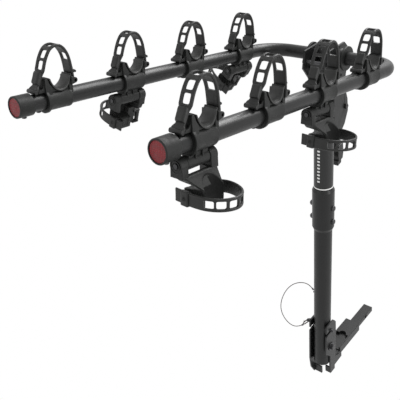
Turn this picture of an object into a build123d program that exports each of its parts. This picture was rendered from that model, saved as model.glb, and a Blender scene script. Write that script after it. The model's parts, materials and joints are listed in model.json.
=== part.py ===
"""Hanging four-bike rack for a tow hitch: hitch bar, tilting mast and folding two-arm fork.

Frame: the origin is the centre of the hitch pin hole, X runs across the vehicle, Y runs
forward into the receiver and Z is up. The mast and the arms lean, so they are drawn in
frames of their own: `mast_plane` looks down the mast and `side_plane` / `cross_plane` sit
on an arm. Lengths are millimetres, angles are degrees.
"""
import os
from math import cos, pi, radians, sin, tan

from build123d import *

os.makedirs("parts", exist_ok=True)

# ------------------------------------------------------------------ driving dimensions
BAR_WIDTH, BAR_HEIGHT = 31.75, 19.05      # hitch bar, 1 1/4 in wide
BAR_FRONT, BAR_REAR = 42.0, -238.0
PIN_HOLE_R = 6.75                         # for a 1/2 in hitch pin
MAST_D, MAST_WALL = 50.8, 2.6
MAST_Y0 = -262.0                          # where the mast axis meets the bar's height
MAST_LEAN = 3.0                           # top towards the vehicle
MAST_BOTTOM, MAST_SPLIT, MAST_TOP = 16.0, 573.0, 958.0
PIVOT_AT, LOCK_AT = 90.0, 156.5           # along the mast
ARM_D, ARM_WALL = 31.75, 2.4
ARM_RISE = 11.2                           # arms climb towards their ends
ARM_SPACING = 348.9                       # axis to axis
CROSSBAR_Y, CROSSBAR_Z = -187.6, 1005.0
ARM_REACH = 765.0                         # crossbar axis to the arm ends
BEND_R = 68.0
CRADLE_SPACING = {"right": (143.0, 178.0), "left": (119.0, 186.0)}  # first saddle, pitch
CRADLE_COUNT = 4
RUN_GAP = 0.08                            # radial play of a running fit

STRAP_W, STRAP_T = 26.0, 4.5
SLEEVE_R = 19.5
SADDLE_R, SADDLE_HALF = 20.5, 15.5
PAD_T = 2.0
SADDLE_V = 43.0                           # height of the saddle's centre over the arm axis
STRAP_PIN = (31.0, 30.0)                  # strap pivot, ahead of and above the saddle centre
STRAP_PIN_R = 2.5
SWAY_AXIS_V = -32.5                       # hinge of the anti-sway cradle, under the arm
SWAY_PIN_R = 4.0
SWAY_STRAP_PIN = (7.0, 29.0)              # pivot of its strap, outboard and ahead
SWAY_BAND = (-98.0, -76.0)                # height range of its strap

mast_dir = Vector(0, sin(radians(MAST_LEAN)), cos(radians(MAST_LEAN)))
arm_back = Vector(0, -cos(radians(ARM_RISE)), sin(radians(ARM_RISE)))
arm_up = Vector(0, sin(radians(ARM_RISE)), cos(radians(ARM_RISE)))
crossbar = Vector(0, CROSSBAR_Y, CROSSBAR_Z)
mast_foot = Vector(0, MAST_Y0, 0)


def export(builder, label):
    """Name a finished piece and write its STEP file."""
    builder.part.label = label
    export_step(builder.part, f"parts/{label}.step")


def mast_plane(height):
    """Plane across the mast, `height` along it, with +Z up the mast."""
    return Plane(origin=mast_foot + mast_dir * height, x_dir=(1, 0, 0), z_dir=mast_dir)


def mast_point(height):
    """Point on the mast axis."""
    return mast_foot + mast_dir * height


def mast_side(height):
    """Plane of the mast's side view: local x is to its rear, y up it, z is -X."""
    return Plane(origin=mast_point(height), x_dir=(0, -mast_dir.Z, mast_dir.Y), z_dir=(-1, 0, 0))


def side_plane(reach, x):
    """Side view of an arm: local x runs forward along it, y is up, z is +X."""
    return Plane(origin=crossbar + arm_back * reach + Vector(x, 0, 0),
                 x_dir=arm_back * -1, z_dir=(1, 0, 0))


def cross_plane(reach, x):
    """Section of an arm: local x is +X, y is up and z runs back along it."""
    return Plane(origin=crossbar + arm_back * reach + Vector(x, 0, 0),
                 x_dir=(1, 0, 0), z_dir=arm_back)


def down_plane(reach, x, v, side):
    """Plan view under an arm at height v: local x is outboard, y forward."""
    origin = crossbar + arm_back * reach + Vector(x, 0, 0) + arm_up * v
    return Plane(origin=origin, x_dir=(side, 0, 0), z_dir=arm_up * side)


def world_side(x=0.0):
    """Vertical plane across X: local x is +Y, y is +Z."""
    return Plane(origin=(x, 0, 0), x_dir=(0, 1, 0), z_dir=(1, 0, 0))


# ------------------------------------------------------------------ hitch bar and base
def make_hitch_bar():
    with BuildPart() as bar:
        with BuildSketch(Plane.XZ.offset(-BAR_FRONT)):
            RectangleRounded(BAR_WIDTH, BAR_HEIGHT, 2.5)
        extrude(amount=BAR_FRONT - BAR_REAR)
        with BuildSketch(world_side()):
            Circle(PIN_HOLE_R)
        extrude(amount=BAR_WIDTH, both=True, mode=Mode.SUBTRACT)
    export(bar, "hitch_bar")


def make_bar_end_cap():
    with BuildPart() as cap:
        with BuildSketch(Plane.XZ.offset(-BAR_FRONT)):
            RectangleRounded(BAR_WIDTH, BAR_HEIGHT, 2.5)
        extrude(amount=-4.0)
        fillet(cap.faces().sort_by(Axis.Y)[-1].edges(), 1.5)
    export(cap, "bar_end_cap")


ADAPTER_W, ADAPTER_H = 50.8, 28.0
ADAPTER_BOTTOM = -BAR_HEIGHT / 2 + 5.0
ADAPTER_REAR, ADAPTER_STEP, ADAPTER_FRONT = -193.0, -124.0, -62.0
ADAPTER_WALL = 4.6


def make_hitch_adapter():
    """Saddle-shaped block that widens the bar to two inches: open below and at its rear top."""
    top = ADAPTER_BOTTOM + ADAPTER_H
    bar_top = BAR_HEIGHT / 2
    inner = ADAPTER_W / 2 - ADAPTER_WALL
    with BuildPart() as adapter:
        with BuildSketch(Plane.XY.offset(ADAPTER_BOTTOM)):
            with Locations((0, (ADAPTER_REAR + ADAPTER_FRONT) / 2)):
                RectangleRounded(ADAPTER_W, ADAPTER_FRONT - ADAPTER_REAR, 3.0)
        extrude(amount=ADAPTER_H)
        with BuildSketch(Plane.XZ.offset(-ADAPTER_FRONT - 5)):
            with Locations((0, (ADAPTER_BOTTOM + bar_top) / 2 - 1)):
                Rectangle(BAR_WIDTH, bar_top - ADAPTER_BOTTOM + 2)
        extrude(amount=ADAPTER_FRONT - ADAPTER_REAR + 10, mode=Mode.SUBTRACT)
        with BuildSketch(Plane.XY.offset(bar_top + 3)):
            with BuildLine():
                Polyline((-inner, ADAPTER_REAR - 5), (-inner, ADAPTER_STEP - 8),
                         (inner, ADAPTER_STEP - 8), (inner, ADAPTER_REAR - 5), close=True)
            make_face()
            with Locations((0, ADAPTER_STEP - 8)):
                Circle(12)
        extrude(amount=ADAPTER_H, mode=Mode.SUBTRACT)
        edges = adapter.edges().filter_by(Axis.Y).filter_by_position(Axis.Z, top - 0.1, top + 0.1)
        across = edges.sort_by(Axis.X)
        chamfer([across[0], across[-1]], 1.0)
    export(adapter, "hitch_adapter")


LOCK_PIN_R = 5.0
PIVOT_R = 5.9
PLATE_T = 5.0
PLATE_IN = MAST_D / 2 + 0.8
CHEEK_FRONT = ADAPTER_REAR - 0.5
PLATE_HEAD = ((-278, 187), (-238, 187), (-226, 172), (-226, 120), (-231, 24), (-206, 12),
              (CHEEK_FRONT, 12), (CHEEK_FRONT, -BAR_HEIGHT / 2))
PLATE_FOOT = {                            # right foot short and set in, left foot long
    1: ((-236, -12), (-236, -28), (-262, -28), (-262, 50), (-286, 76)),
    -1: ((-231, -14), (-237, -30), (-254, -48), (-266, -48), (-282, -16), (-287, 28))}
FOOT_BOX = {1: (12.0, -28.0, -4.0), -1: (2.0, -48.0, -20.0)}  # inner x, bottom z, top z


def make_base_plate(side, label):
    """Upright side plate with a cheek welded to the bar and an inturned foot."""
    x_in = side * PLATE_IN
    foot_in, foot_low, foot_top = FOOT_BOX[side]
    lock = mast_point(LOCK_AT)
    pivot = mast_point(PIVOT_AT)
    with BuildPart() as plate:
        with BuildSketch(world_side(x_in)) as profile:
            with BuildLine():
                Polyline(*PLATE_HEAD, *PLATE_FOOT[side], close=True)
            make_face()
            fillet(profile.vertices().filter_by_position(Axis.Y, 150, 200), 7)
        extrude(amount=side * PLATE_T)
        with BuildSketch(Plane.XZ.offset(238)):
            with Locations((side * (BAR_WIDTH / 2 + PLATE_IN) / 2, 0)):
                Rectangle(PLATE_IN - BAR_WIDTH / 2, BAR_HEIGHT)
        extrude(amount=CHEEK_FRONT * -1 - 238, mode=Mode.ADD)
        with BuildSketch(Plane.XZ.offset(262)):
            with Locations((side * (PLATE_IN + foot_in) / 2, (foot_low + foot_top) / 2)):
                Rectangle(PLATE_IN - foot_in, foot_top - foot_low)
        extrude(amount=-PLATE_T)
        with BuildSketch(world_side(x_in)):
            with Locations((pivot.Y, pivot.Z)):
                Circle(6.0)
        extrude(amount=side * PLATE_T, mode=Mode.SUBTRACT)
        with BuildSketch(world_side(x_in)):
            with BuildLine():
                slot_arc = CenterArc((pivot.Y, pivot.Z), LOCK_AT - PIVOT_AT, 90 - MAST_LEAN, 38)
            trace(slot_arc, line_width=2 * LOCK_PIN_R + 2.0)
            with Locations((lock.Y, lock.Z)):
                Circle(LOCK_PIN_R + 1.0)
        extrude(amount=side * PLATE_T, mode=Mode.SUBTRACT)
    export(plate, label)


def make_pivot_hardware():
    """Hex bolt, washers and nut on the tilt axis."""
    pivot = mast_point(PIVOT_AT)
    outer = PLATE_IN + PLATE_T
    centre = (pivot.Y, pivot.Z)
    with BuildPart() as bolt:
        with BuildSketch(world_side(outer + 2.5)):
            with Locations(centre):
                RegularPolygon(9.5, 6, rotation=15)
        extrude(amount=8.0)
        chamfer(bolt.faces().sort_by(Axis.X)[-1].edges(), 1.2)
        with BuildSketch(world_side(outer + 2.5)):
            with Locations(centre):
                Circle(PIVOT_R)
        extrude(amount=-(2 * outer + 14.5))
    export(bolt, "pivot_bolt")
    with BuildPart() as nut:
        with BuildSketch(world_side(-outer - 2.5)):
            with Locations(centre):
                RegularPolygon(9.5, 6)
                Circle(PIVOT_R, mode=Mode.SUBTRACT)
        extrude(amount=-9.0)
    export(nut, "pivot_nut")
    with BuildPart() as washers:
        for x in (outer, -outer - 2.5):
            with BuildSketch(world_side(x)):
                with Locations(centre):
                    Circle(14.0)
                    Circle(PIVOT_R, mode=Mode.SUBTRACT)
            extrude(amount=2.5)
    export(washers, "pivot_washers")


# ------------------------------------------------------------------ mast
def cross_holes(radius, heights):
    """Cut holes across the mast at these heights."""
    for height in heights:
        with BuildSketch(mast_side(height)) as hole:
            Circle(radius)
        extrude(hole.sketch, amount=MAST_D, both=True, mode=Mode.SUBTRACT)


COLLAR_BOLTS = (551.0, 594.0)
COLLAR_R, COLLAR_RANGE = 30.4, (521.0, 654.0)
COLLAR_BOLT_R = 5.0
LABEL_RANGE = (656.0, 804.0)


def make_mast_tubes():
    lower_holes = ((PIVOT_R + RUN_GAP, PIVOT_AT), (LOCK_PIN_R + RUN_GAP, LOCK_AT),
                   (COLLAR_BOLT_R, COLLAR_BOLTS[0]))
    upper_holes = ((COLLAR_BOLT_R, COLLAR_BOLTS[1]),)
    for label, low, high, holes in (
            ("mast_lower_tube", MAST_BOTTOM, MAST_SPLIT - 0.5, lower_holes),
            ("mast_upper_tube", MAST_SPLIT + 0.5, MAST_TOP, upper_holes)):
        with BuildPart() as tube:
            with BuildSketch(mast_plane(low)):
                Circle(MAST_D / 2)
                Circle(MAST_D / 2 - MAST_WALL, mode=Mode.SUBTRACT)
            extrude(amount=high - low)
            for radius, height in holes:
                cross_holes(radius, (height,))
        export(tube, label)


def make_mast_collar():
    """Swaged sleeve, tapered at both ends, that joins the two mast tubes."""
    low, high = COLLAR_RANGE
    taper = 9.0
    inner = MAST_D / 2
    with BuildPart() as collar:
        with BuildSketch(mast_side(0)):
            with BuildLine():
                Polyline((inner, low), (inner + 1.2, low), (COLLAR_R, low + taper),
                         (COLLAR_R, high - taper), (inner + 1.2, high), (inner, high), close=True)
            make_face()
        revolve(axis=Axis(mast_foot, mast_dir))
        cross_holes(COLLAR_BOLT_R, COLLAR_BOLTS)
    export(collar, "mast_collar")
    with BuildPart() as bolts:
        for height in COLLAR_BOLTS:
            spot = mast_point(height)
            with BuildSketch(Plane(origin=spot + Vector(COLLAR_R, 0, 0), x_dir=(0, 1, 0), z_dir=(1, 0, 0))):
                Circle(8.0)
            extrude(amount=5.0)
            with BuildSketch(Plane(origin=spot + Vector(COLLAR_R, 0, 0), x_dir=(0, 1, 0), z_dir=(1, 0, 0))):
                Circle(COLLAR_BOLT_R)
            extrude(amount=-(2 * COLLAR_R + 9))
        domes = bolts.faces().filter_by(Axis.X).filter_by_position(Axis.X, COLLAR_R + 4, COLLAR_R + 6)
        fillet(domes.edges(), 3.5)
    export(bolts, "collar_bolts")
    with BuildPart() as nuts:
        for height in COLLAR_BOLTS:
            spot = mast_point(height)
            with BuildSketch(Plane(origin=spot - Vector(COLLAR_R, 0, 0), x_dir=(0, 1, 0), z_dir=(-1, 0, 0))):
                RegularPolygon(8.2, 6)
                Circle(COLLAR_BOLT_R, mode=Mode.SUBTRACT)
            extrude(amount=7.0)
    export(nuts, "collar_nuts")


def make_mast_label():
    """Thin plain wrap above the collar."""
    with BuildPart() as label:
        with BuildSketch(mast_plane(LABEL_RANGE[0])):
            Circle(MAST_D / 2 + 0.5)
            Circle(MAST_D / 2, mode=Mode.SUBTRACT)
        extrude(amount=LABEL_RANGE[1] - LABEL_RANGE[0])
    export(label, "mast_label")


# ------------------------------------------------------------------ head
HEAD_T = 5.0
HOUSING_R, HOUSING_BORE = 23.0, 19.0
HOUSING_X = (MAST_D / 2 - 2.0, 44.0)
BUSH_FLANGE_R = 29.0
LEVER_PIVOT = (-163.0, 868.0)
HEAD_BOLTS = ((-246.0, 1008.0), (-223.0, 985.0), LEVER_PIVOT)
HEAD_BOLT_R, HEAD_BOLT_CAP = 4.0, 5.0


def make_head_plate(side, label):
    """Side plate of the head with half of the pivot housing."""
    x_in = side * MAST_D / 2
    with BuildPart() as plate:
        with BuildSketch(world_side(x_in)):
            with BuildLine():
                Polyline((-252, 1037), (-166, 1037), (-150, 1020), (-150, 985), (-168, 930),
                         (-152, 885), (-150, 852), (-166, 822), (-184, 806), (-219, 806),
                         (-217, 950), (-238, 962), (-262, 995), close=True)
            make_face()
        extrude(amount=side * HEAD_T)
        with BuildSketch(world_side(side * HOUSING_X[0])):
            with Locations((CROSSBAR_Y, CROSSBAR_Z)):
                Circle(HOUSING_R)
        extrude(amount=side * (HOUSING_X[1] - HOUSING_X[0]))
        with BuildSketch(world_side(side * HOUSING_X[0])):
            with Locations((CROSSBAR_Y, CROSSBAR_Z)):
                Circle(HOUSING_BORE)
        extrude(amount=side * (HOUSING_X[1] - HOUSING_X[0]), mode=Mode.SUBTRACT)
        with BuildSketch(world_side(x_in)):
            with Locations(*HEAD_BOLTS):
                Circle(HEAD_BOLT_R)
        extrude(amount=side * HEAD_T, mode=Mode.SUBTRACT)
    export(plate, label)


def make_head_bushings():
    """Two flanged plastic bushings between the housings and the crossbar."""
    with BuildPart() as bushings:
        for side in (1, -1):
            with BuildSketch(world_side(side * HOUSING_X[0])):
                with Locations((CROSSBAR_Y, CROSSBAR_Z)):
                    Circle(HOUSING_BORE)
                    Circle(ARM_D / 2 + RUN_GAP, mode=Mode.SUBTRACT)
            extrude(amount=side * (HOUSING_X[1] - HOUSING_X[0]))
            with BuildSketch(world_side(side * HOUSING_X[1])):
                with Locations((CROSSBAR_Y, CROSSBAR_Z)):
                    Circle(BUSH_FLANGE_R)
                    Circle(ARM_D / 2 + RUN_GAP, mode=Mode.SUBTRACT)
            extrude(amount=side * 6.0)
    export(bushings, "head_bushings")


def make_head_bolts():
    """Three through bolts with heads and nuts: two clamp the head, one carries the lever."""
    outer = MAST_D / 2 + HEAD_T
    with BuildPart() as bolts:
        for spot in HEAD_BOLTS:
            with BuildSketch(world_side(-outer)):
                with Locations(spot):
                    Circle(HEAD_BOLT_R)
            extrude(amount=2 * outer)
            for start in (outer, -outer - HEAD_BOLT_CAP):
                with BuildSketch(world_side(start)):
                    with Locations(spot):
                        RegularPolygon(7.0, 6)
                extrude(amount=HEAD_BOLT_CAP)
    export(bolts, "head_bolts")


SECTOR_R, SECTOR_ROOT, SECTOR_HALF = 35.0, 27.5, 5.0
PAWL_ANGLE = -20.0                        # where the pawl sits, seen from +X, from +Y
PAWL_HALF = 3.5
FOLD_RANGE = 95.0


def make_latch_sector():
    """Disc welded on the crossbar, with a recess as long as the fold for the pawl."""
    with BuildPart() as sector:
        with BuildSketch(world_side(-SECTOR_HALF)):
            with Locations((CROSSBAR_Y, CROSSBAR_Z)):
                Circle(SECTOR_R)
                Circle(ARM_D / 2, mode=Mode.SUBTRACT)
        extrude(amount=2 * SECTOR_HALF)
        with BuildSketch(world_side(-SECTOR_HALF)):
            with BuildLine():
                arc = CenterArc((CROSSBAR_Y, CROSSBAR_Z), (SECTOR_R + SECTOR_ROOT) / 2,
                                PAWL_ANGLE - FOLD_RANGE - 9, FOLD_RANGE + 18)
            trace(arc, line_width=SECTOR_R - SECTOR_ROOT + 1.0)
        extrude(amount=2 * SECTOR_HALF, mode=Mode.SUBTRACT)
    export(sector, "latch_sector")


def make_release_lever():
    """Pull lever down the front of the mast: pawl above its bolt, grip below."""
    inward = Vector(cos(radians(PAWL_ANGLE)), sin(radians(PAWL_ANGLE)))
    across = Vector(-inward.Y, inward.X) * PAWL_HALF
    tip = Vector(CROSSBAR_Y, CROSSBAR_Z) + inward * (SECTOR_ROOT + 2.5)
    root = Vector(CROSSBAR_Y, CROSSBAR_Z) + inward * (SECTOR_R + 12)
    with BuildPart() as lever:
        with BuildSketch(world_side(-9)):
            with BuildLine():
                Polyline((-178, 880), (-158, 884), (-150, 866), (-151, 736),
                         (-168, 736), (-174, 852), close=True)
            make_face()
        extrude(amount=18.0)
        with BuildSketch(world_side(-4)):
            with BuildLine():
                Polyline(tip - across, tip + across, root + across, (-138, 996), (-137, 984),
                         (-152, 880), (-172, 876), (-166, 890), (-149, 984), close=True)
            make_face()
        extrude(amount=8.0)
        with BuildSketch(world_side(-15)):
            with BuildLine():
                Polyline((-148, 752), (-146, 726), (-150, 708),
                         (-170, 704), (-174, 722), (-171, 752), close=True)
            make_face()
        extrude(amount=30.0)
        with BuildSketch(world_side(-12)):
            with BuildLine():
                Polyline((-152, 710), (-153, 694), (-170, 690), (-173, 706), close=True)
            make_face()
        extrude(amount=24.0)
        with BuildSketch(world_side(-20)):
            with Locations(LEVER_PIVOT):
                Circle(HEAD_BOLT_R + RUN_GAP)
        extrude(amount=40.0, mode=Mode.SUBTRACT)
    export(lever, "release_lever")


# ------------------------------------------------------------------ tilt lock pin and tether
LOCK_TAIL, LOCK_HEAD = 40.0, -33.5
RING_R, RING_WIRE, RING_TILT = 14.0, 1.6, 46.0


def make_tilt_pin():
    """Headed pin across the mast, drawn out to -X, with a split ring in its head."""
    lock = mast_point(LOCK_AT)
    with BuildPart() as pin:
        with BuildSketch(Plane(origin=lock + Vector(LOCK_TAIL, 0, 0), x_dir=(0, 1, 0), z_dir=(-1, 0, 0))):
            Circle(LOCK_PIN_R)
        extrude(amount=LOCK_TAIL - LOCK_HEAD + 20)
        with BuildSketch(Plane(origin=lock + Vector(LOCK_HEAD, 0, 0), x_dir=(0, 1, 0), z_dir=(-1, 0, 0))):
            Circle(9.0)
        extrude(amount=5.0)
        chamfer(pin.faces().sort_by(Axis.X)[-1].edges(), 1.5)
        with BuildSketch(Plane(origin=lock + Vector(LOCK_HEAD - 14, 0, 0), x_dir=(1, 0, 0), z_dir=(0, 1, 0))):
            Circle(2.2)
        extrude(amount=LOCK_PIN_R + 2, both=True, mode=Mode.SUBTRACT)
    export(pin, "tilt_pin")
    eye = lock + Vector(LOCK_HEAD - 14, 0, 0)
    hang = Vector(-sin(radians(RING_TILT)), 0, -cos(radians(RING_TILT)))
    with BuildPart() as ring:
        with BuildSketch(Plane(origin=eye, x_dir=hang, z_dir=(0, 1, 0))):
            Circle(RING_WIRE)
        revolve(axis=Axis(eye + hang * RING_R, hang.cross(Vector(0, 1, 0))))
    export(ring, "pin_ring")


TETHER_R = 1.2
TETHER_ROUTE = (
    (-33.5, -248.0, 289.0),
    (-42.0, -249.5, 300.0),
    (-58.0, -252.5, 305.5),
    (-78.0, -259.0, 302.0),
    (-96.0, -266.0, 290.0),
    (-112.0, -272.0, 269.0),
    (-125.0, -276.5, 240.0),
    (-134.0, -279.0, 207.0),
    (-135.5, -279.0, 176.0),
    (-129.0, -277.0, 150.0),
    (-118.0, -272.5, 128.0),
    (-103.0, -267.0, 114.5),
    (-86.0, -261.0, 115.0),
    (-72.5, -256.0, 125.0),
)


def route_radii(points):
    """Largest arc that each corner of the route allows: 0.45 of the shorter run over tan(half turn)."""
    radii = []
    for before, corner, after in zip(points, points[1:], points[2:]):
        run_in = Vector(*corner) - Vector(*before)
        run_out = Vector(*after) - Vector(*corner)
        turn = radians(run_in.get_angle(run_out))
        radii.append(0.45 * min(run_in.length, run_out.length) / tan(turn / 2))
    return radii


def make_tether():
    """Thin coated wire loop from the mast to the pin's ring, with a crimped sleeve at each end."""
    radii = route_radii(TETHER_ROUTE)
    print("tether radii:", [round(r, 1) for r in radii])
    start = Vector(*TETHER_ROUTE[0])
    with BuildPart() as cable:
        with BuildLine():
            path = FilletPolyline(*TETHER_ROUTE, radius=radii)
        with BuildSketch(Plane(origin=start, z_dir=Vector(*TETHER_ROUTE[1]) - start)):
            Circle(TETHER_R)
        sweep(path=path)
    length = path.length
    print("tether length:", round(length, 1), "volume ratio:",
          round(cable.part.volume / (pi * TETHER_R ** 2 * length), 4))
    export(cable, "tether_cable")
    with BuildPart() as ferrules:
        for near, far in ((TETHER_ROUTE[0], TETHER_ROUTE[1]), (TETHER_ROUTE[-1], TETHER_ROUTE[-2])):
            run = Vector(*near) - Vector(*far)
            with BuildSketch(Plane(origin=near, z_dir=run)):
                Circle(2.6)
            extrude(amount=4.0)
    export(ferrules, "tether_ferrules")


def make_tether_anchor():
    """Small eyelet screw on the mast that holds the tether."""
    start = Vector(*TETHER_ROUTE[0])
    spot = Vector(-MAST_D / 2, start.Y, start.Z - 8)
    with BuildPart() as anchor:
        with BuildSketch(Plane(origin=spot, x_dir=(0, 1, 0), z_dir=(-1, 0, 0))):
            Circle(4.0)
        extrude(amount=5.0)
        fillet(anchor.faces().sort_by(Axis.X)[0].edges(), 1.5)
    export(anchor, "tether_anchor")


# ------------------------------------------------------------------ arms
CAP_FROM, CAP_TO, CAP_R = 738.0, 770.0, 20.0
REFLECTOR_R, REFLECTOR_T = 17.0, 2.5


def make_arm_tube():
    """One tube bent into a U: two arms and the crossbar between them."""
    half = Vector(ARM_SPACING / 2, 0, 0)
    end = arm_back * ARM_REACH
    with BuildPart() as tube:
        with BuildLine():
            path = FilletPolyline(crossbar + end + half, crossbar + half, crossbar - half,
                                  crossbar + end - half, radius=BEND_R)
        with BuildSketch(Plane(origin=crossbar + end + half, x_dir=(1, 0, 0), z_dir=arm_back * -1)):
            Circle(ARM_D / 2)
            Circle(ARM_D / 2 - ARM_WALL, mode=Mode.SUBTRACT)
        sweep(path=path)
    export(tube, "arm_tube")


def make_arm_end(side, name):
    """Enlarged end cap and the round reflector set into it."""
    x = side * ARM_SPACING / 2
    with BuildPart() as cap:
        with BuildSketch(cross_plane(CAP_FROM, x)):
            Circle(CAP_R)
        extrude(amount=CAP_TO - CAP_FROM)
        fillet(cap.edges().filter_by(GeomType.CIRCLE), 1.5)
        with BuildSketch(cross_plane(CAP_FROM, x)):
            Circle(ARM_D / 2)
        extrude(amount=ARM_REACH - CAP_FROM, mode=Mode.SUBTRACT)
        with BuildSketch(cross_plane(CAP_TO - REFLECTOR_T, x)):
            Circle(REFLECTOR_R)
        extrude(amount=REFLECTOR_T, mode=Mode.SUBTRACT)
    export(cap, f"end_cap_{name}")
    with BuildPart() as reflector:
        with BuildSketch(cross_plane(CAP_TO - REFLECTOR_T, x)):
            Circle(REFLECTOR_R)
        extrude(amount=REFLECTOR_T - 0.8)
    export(reflector, f"reflector_{name}")


def under_arm(reach, x, v):
    """Plane facing down under an arm."""
    origin = crossbar + arm_back * reach + Vector(x, 0, 0) + arm_up * v
    return Plane(origin=origin, x_dir=(1, 0, 0), z_dir=arm_up * -1)


def make_dome_screws(label, spots, radius, v):
    """Domed screw heads under the arms, one solid each."""
    with BuildPart() as screws:
        for reach, x in spots:
            with BuildSketch(under_arm(reach, x, v)):
                Circle(radius)
            extrude(amount=3.2)
        low = screws.faces().filter_by(lambda f: f.normal_at().dot(arm_up) < -0.99)
        fillet(low.edges(), 1.8)
    export(screws, label)


# ------------------------------------------------------------------ cradles
SLEEVE_FRONT, SLEEVE_REAR = 22.0, -34.0
RING_REAR_T = 6.0
HORN_TOP = 41.0
LUG_REAR = -50.5
EAR_IN, EAR_OUT, EAR_R = 13.4, 17.0, 5.2
BARREL = (-40.0, 10.0)                    # fixed barrel of the anti-sway hinge
KNUCKLES = ((-56.0, -40.6), (10.6, 28.0))
WEB_TOP = -17.5                           # inside the wall of the sleeve
BARREL_R, KNUCKLE_R = 11.5, 12.5


def make_cradle(reach, x, label, with_barrel):
    """Sleeve clamped round the arm, saddle with two horns, rear lug and the ears of the strap pin."""
    side_view = side_plane(reach, x)
    with BuildPart() as cradle:
        with BuildSketch(cross_plane(reach - SLEEVE_FRONT, x)):
            Circle(SLEEVE_R)
        extrude(amount=SLEEVE_FRONT - SLEEVE_REAR)
        with BuildSketch(cross_plane(reach - SLEEVE_REAR - RING_REAR_T, x)):
            Circle(SLEEVE_R + 3)
        extrude(amount=RING_REAR_T)
        with BuildSketch(side_view):
            with BuildLine():
                Polyline((-33, 0), (-33, 24), (-30, HORN_TOP), (26, HORN_TOP + 2), (26, 10),
                         (SLEEVE_FRONT, 0), close=True)
            make_face()
            with Locations((0, SADDLE_V)):
                Circle(SADDLE_R + PAD_T, mode=Mode.SUBTRACT)
        extrude(amount=SADDLE_HALF, both=True)
        with BuildSketch(side_view):
            with BuildLine():
                Polyline((LUG_REAR, 17.2), (-30, 17.2), (-30, 25), (LUG_REAR, 22), close=True)
            make_face()
        extrude(amount=9.0, both=True)
        for ear in (1, -1):
            with BuildSketch(side_plane(reach, x + ear * EAR_IN)):
                with BuildLine():
                    Polyline((23.5, STRAP_PIN[1] - EAR_R), (STRAP_PIN[0], STRAP_PIN[1] - EAR_R),
                             (STRAP_PIN[0], STRAP_PIN[1] + EAR_R), (24.5, STRAP_PIN[1] + EAR_R), close=True)
                make_face()
                with Locations(STRAP_PIN):
                    Circle(EAR_R)
                    Circle(STRAP_PIN_R, mode=Mode.SUBTRACT)
            extrude(amount=ear * (EAR_OUT - EAR_IN))
        if with_barrel:
            with BuildSketch(cross_plane(reach - BARREL[1], x)):
                with Locations((0, SWAY_AXIS_V)):
                    Circle(BARREL_R)
            extrude(amount=BARREL[1] - BARREL[0])
            with BuildSketch(side_view):
                with BuildLine():
                    Polyline((-33, SWAY_AXIS_V), (-33, WEB_TOP), (BARREL[1], WEB_TOP),
                             (BARREL[1], SWAY_AXIS_V), close=True)
                make_face()
            extrude(amount=8.0, both=True)
            with BuildSketch(cross_plane(reach - BARREL[1], x)):
                with Locations((0, SWAY_AXIS_V)):
                    Circle(SWAY_PIN_R)
            extrude(amount=BARREL[1] - BARREL[0], mode=Mode.SUBTRACT)
        with BuildSketch(cross_plane(reach - SLEEVE_FRONT - 10, x)):
            Circle(ARM_D / 2)
        extrude(amount=SLEEVE_FRONT - SLEEVE_REAR + 12, mode=Mode.SUBTRACT)
    export(cradle, label)


def add_pad(reach, x):
    """Soft liner of one saddle, added to the part being built."""
    with BuildSketch(side_plane(reach, x)) as liner:
        with Locations((0, SADDLE_V)):
            Circle(SADDLE_R + PAD_T)
            Circle(SADDLE_R, mode=Mode.SUBTRACT)
        with Locations((0, HORN_TOP + 15)):
            Rectangle(60, 30, mode=Mode.SUBTRACT)
    extrude(liner.sketch, amount=SADDLE_HALF, both=True)


STRAP_ROUTE = ((31, 30), (28, 54), (22, 79), (7, 94), (-12, 92.5), (-24, 75), (-29.5, 52),
               (-38, 34), (-50, 29.5), (-54, 20.5))
WINDOWS = (0.255, 0.425, 0.575, 0.69)
WINDOW_LONG, WINDOW_WIDE = 14.0, 15.0


def flat_radii(points):
    """Corner radii for a flat route, from the same rule as the tether's."""
    return route_radii([(x, y, 0) for x, y in points])


def make_strap(reach, x, label):
    """Rubber ladder strap: eye on the front pin, windows over the top, T end behind the lug."""
    side_view = side_plane(reach, x)
    with BuildPart() as strap:
        with BuildSketch(side_view):
            with BuildLine() as leg:
                FilletPolyline(*STRAP_ROUTE, radius=flat_radii(STRAP_ROUTE))
            trace(line_width=STRAP_T)
            with Locations(STRAP_PIN):
                Circle(4.6)
            with Locations(STRAP_ROUTE[-1]):
                Circle(3.0)
        extrude(amount=STRAP_W / 2, both=True)
        with BuildSketch(side_view):
            with BuildLine():
                Polyline((-30, 54), (-35, 57), (-45, 41), (-44, 36), (-37, 37), close=True)
            make_face()
        extrude(amount=8.5, both=True)
        with BuildSketch(side_view):
            with BuildLine():
                Polyline((28, 48), (41, 46), (43, 42), (38, 39), (29, 40), close=True)
            make_face()
        extrude(amount=6.0, both=True)
        wire = leg.wires()[0]
        for at in WINDOWS:
            spot = wire.position_at(at)
            along = wire.tangent_at(at)
            here = Plane(origin=side_view.from_local_coords(spot),
                         x_dir=side_view.x_dir * along.X + side_view.y_dir * along.Y,
                         z_dir=side_view.x_dir * -along.Y + side_view.y_dir * along.X)
            with Locations(here):
                Box(WINDOW_LONG, WINDOW_WIDE, 4 * STRAP_T, mode=Mode.SUBTRACT)
        with BuildSketch(side_view):
            with Locations(STRAP_PIN):
                Circle(STRAP_PIN_R + RUN_GAP)
        extrude(amount=STRAP_W, both=True, mode=Mode.SUBTRACT)
    export(strap, label)


def make_cross_pins(label, spots, v_at, radius, half):
    """Pins across the arms, one solid for each cradle."""
    with BuildPart() as pins:
        for reach, x in spots:
            with BuildSketch(side_plane(reach, x)):
                with Locations(v_at):
                    Circle(radius)
            extrude(amount=half, both=True)
    export(pins, label)


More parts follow.
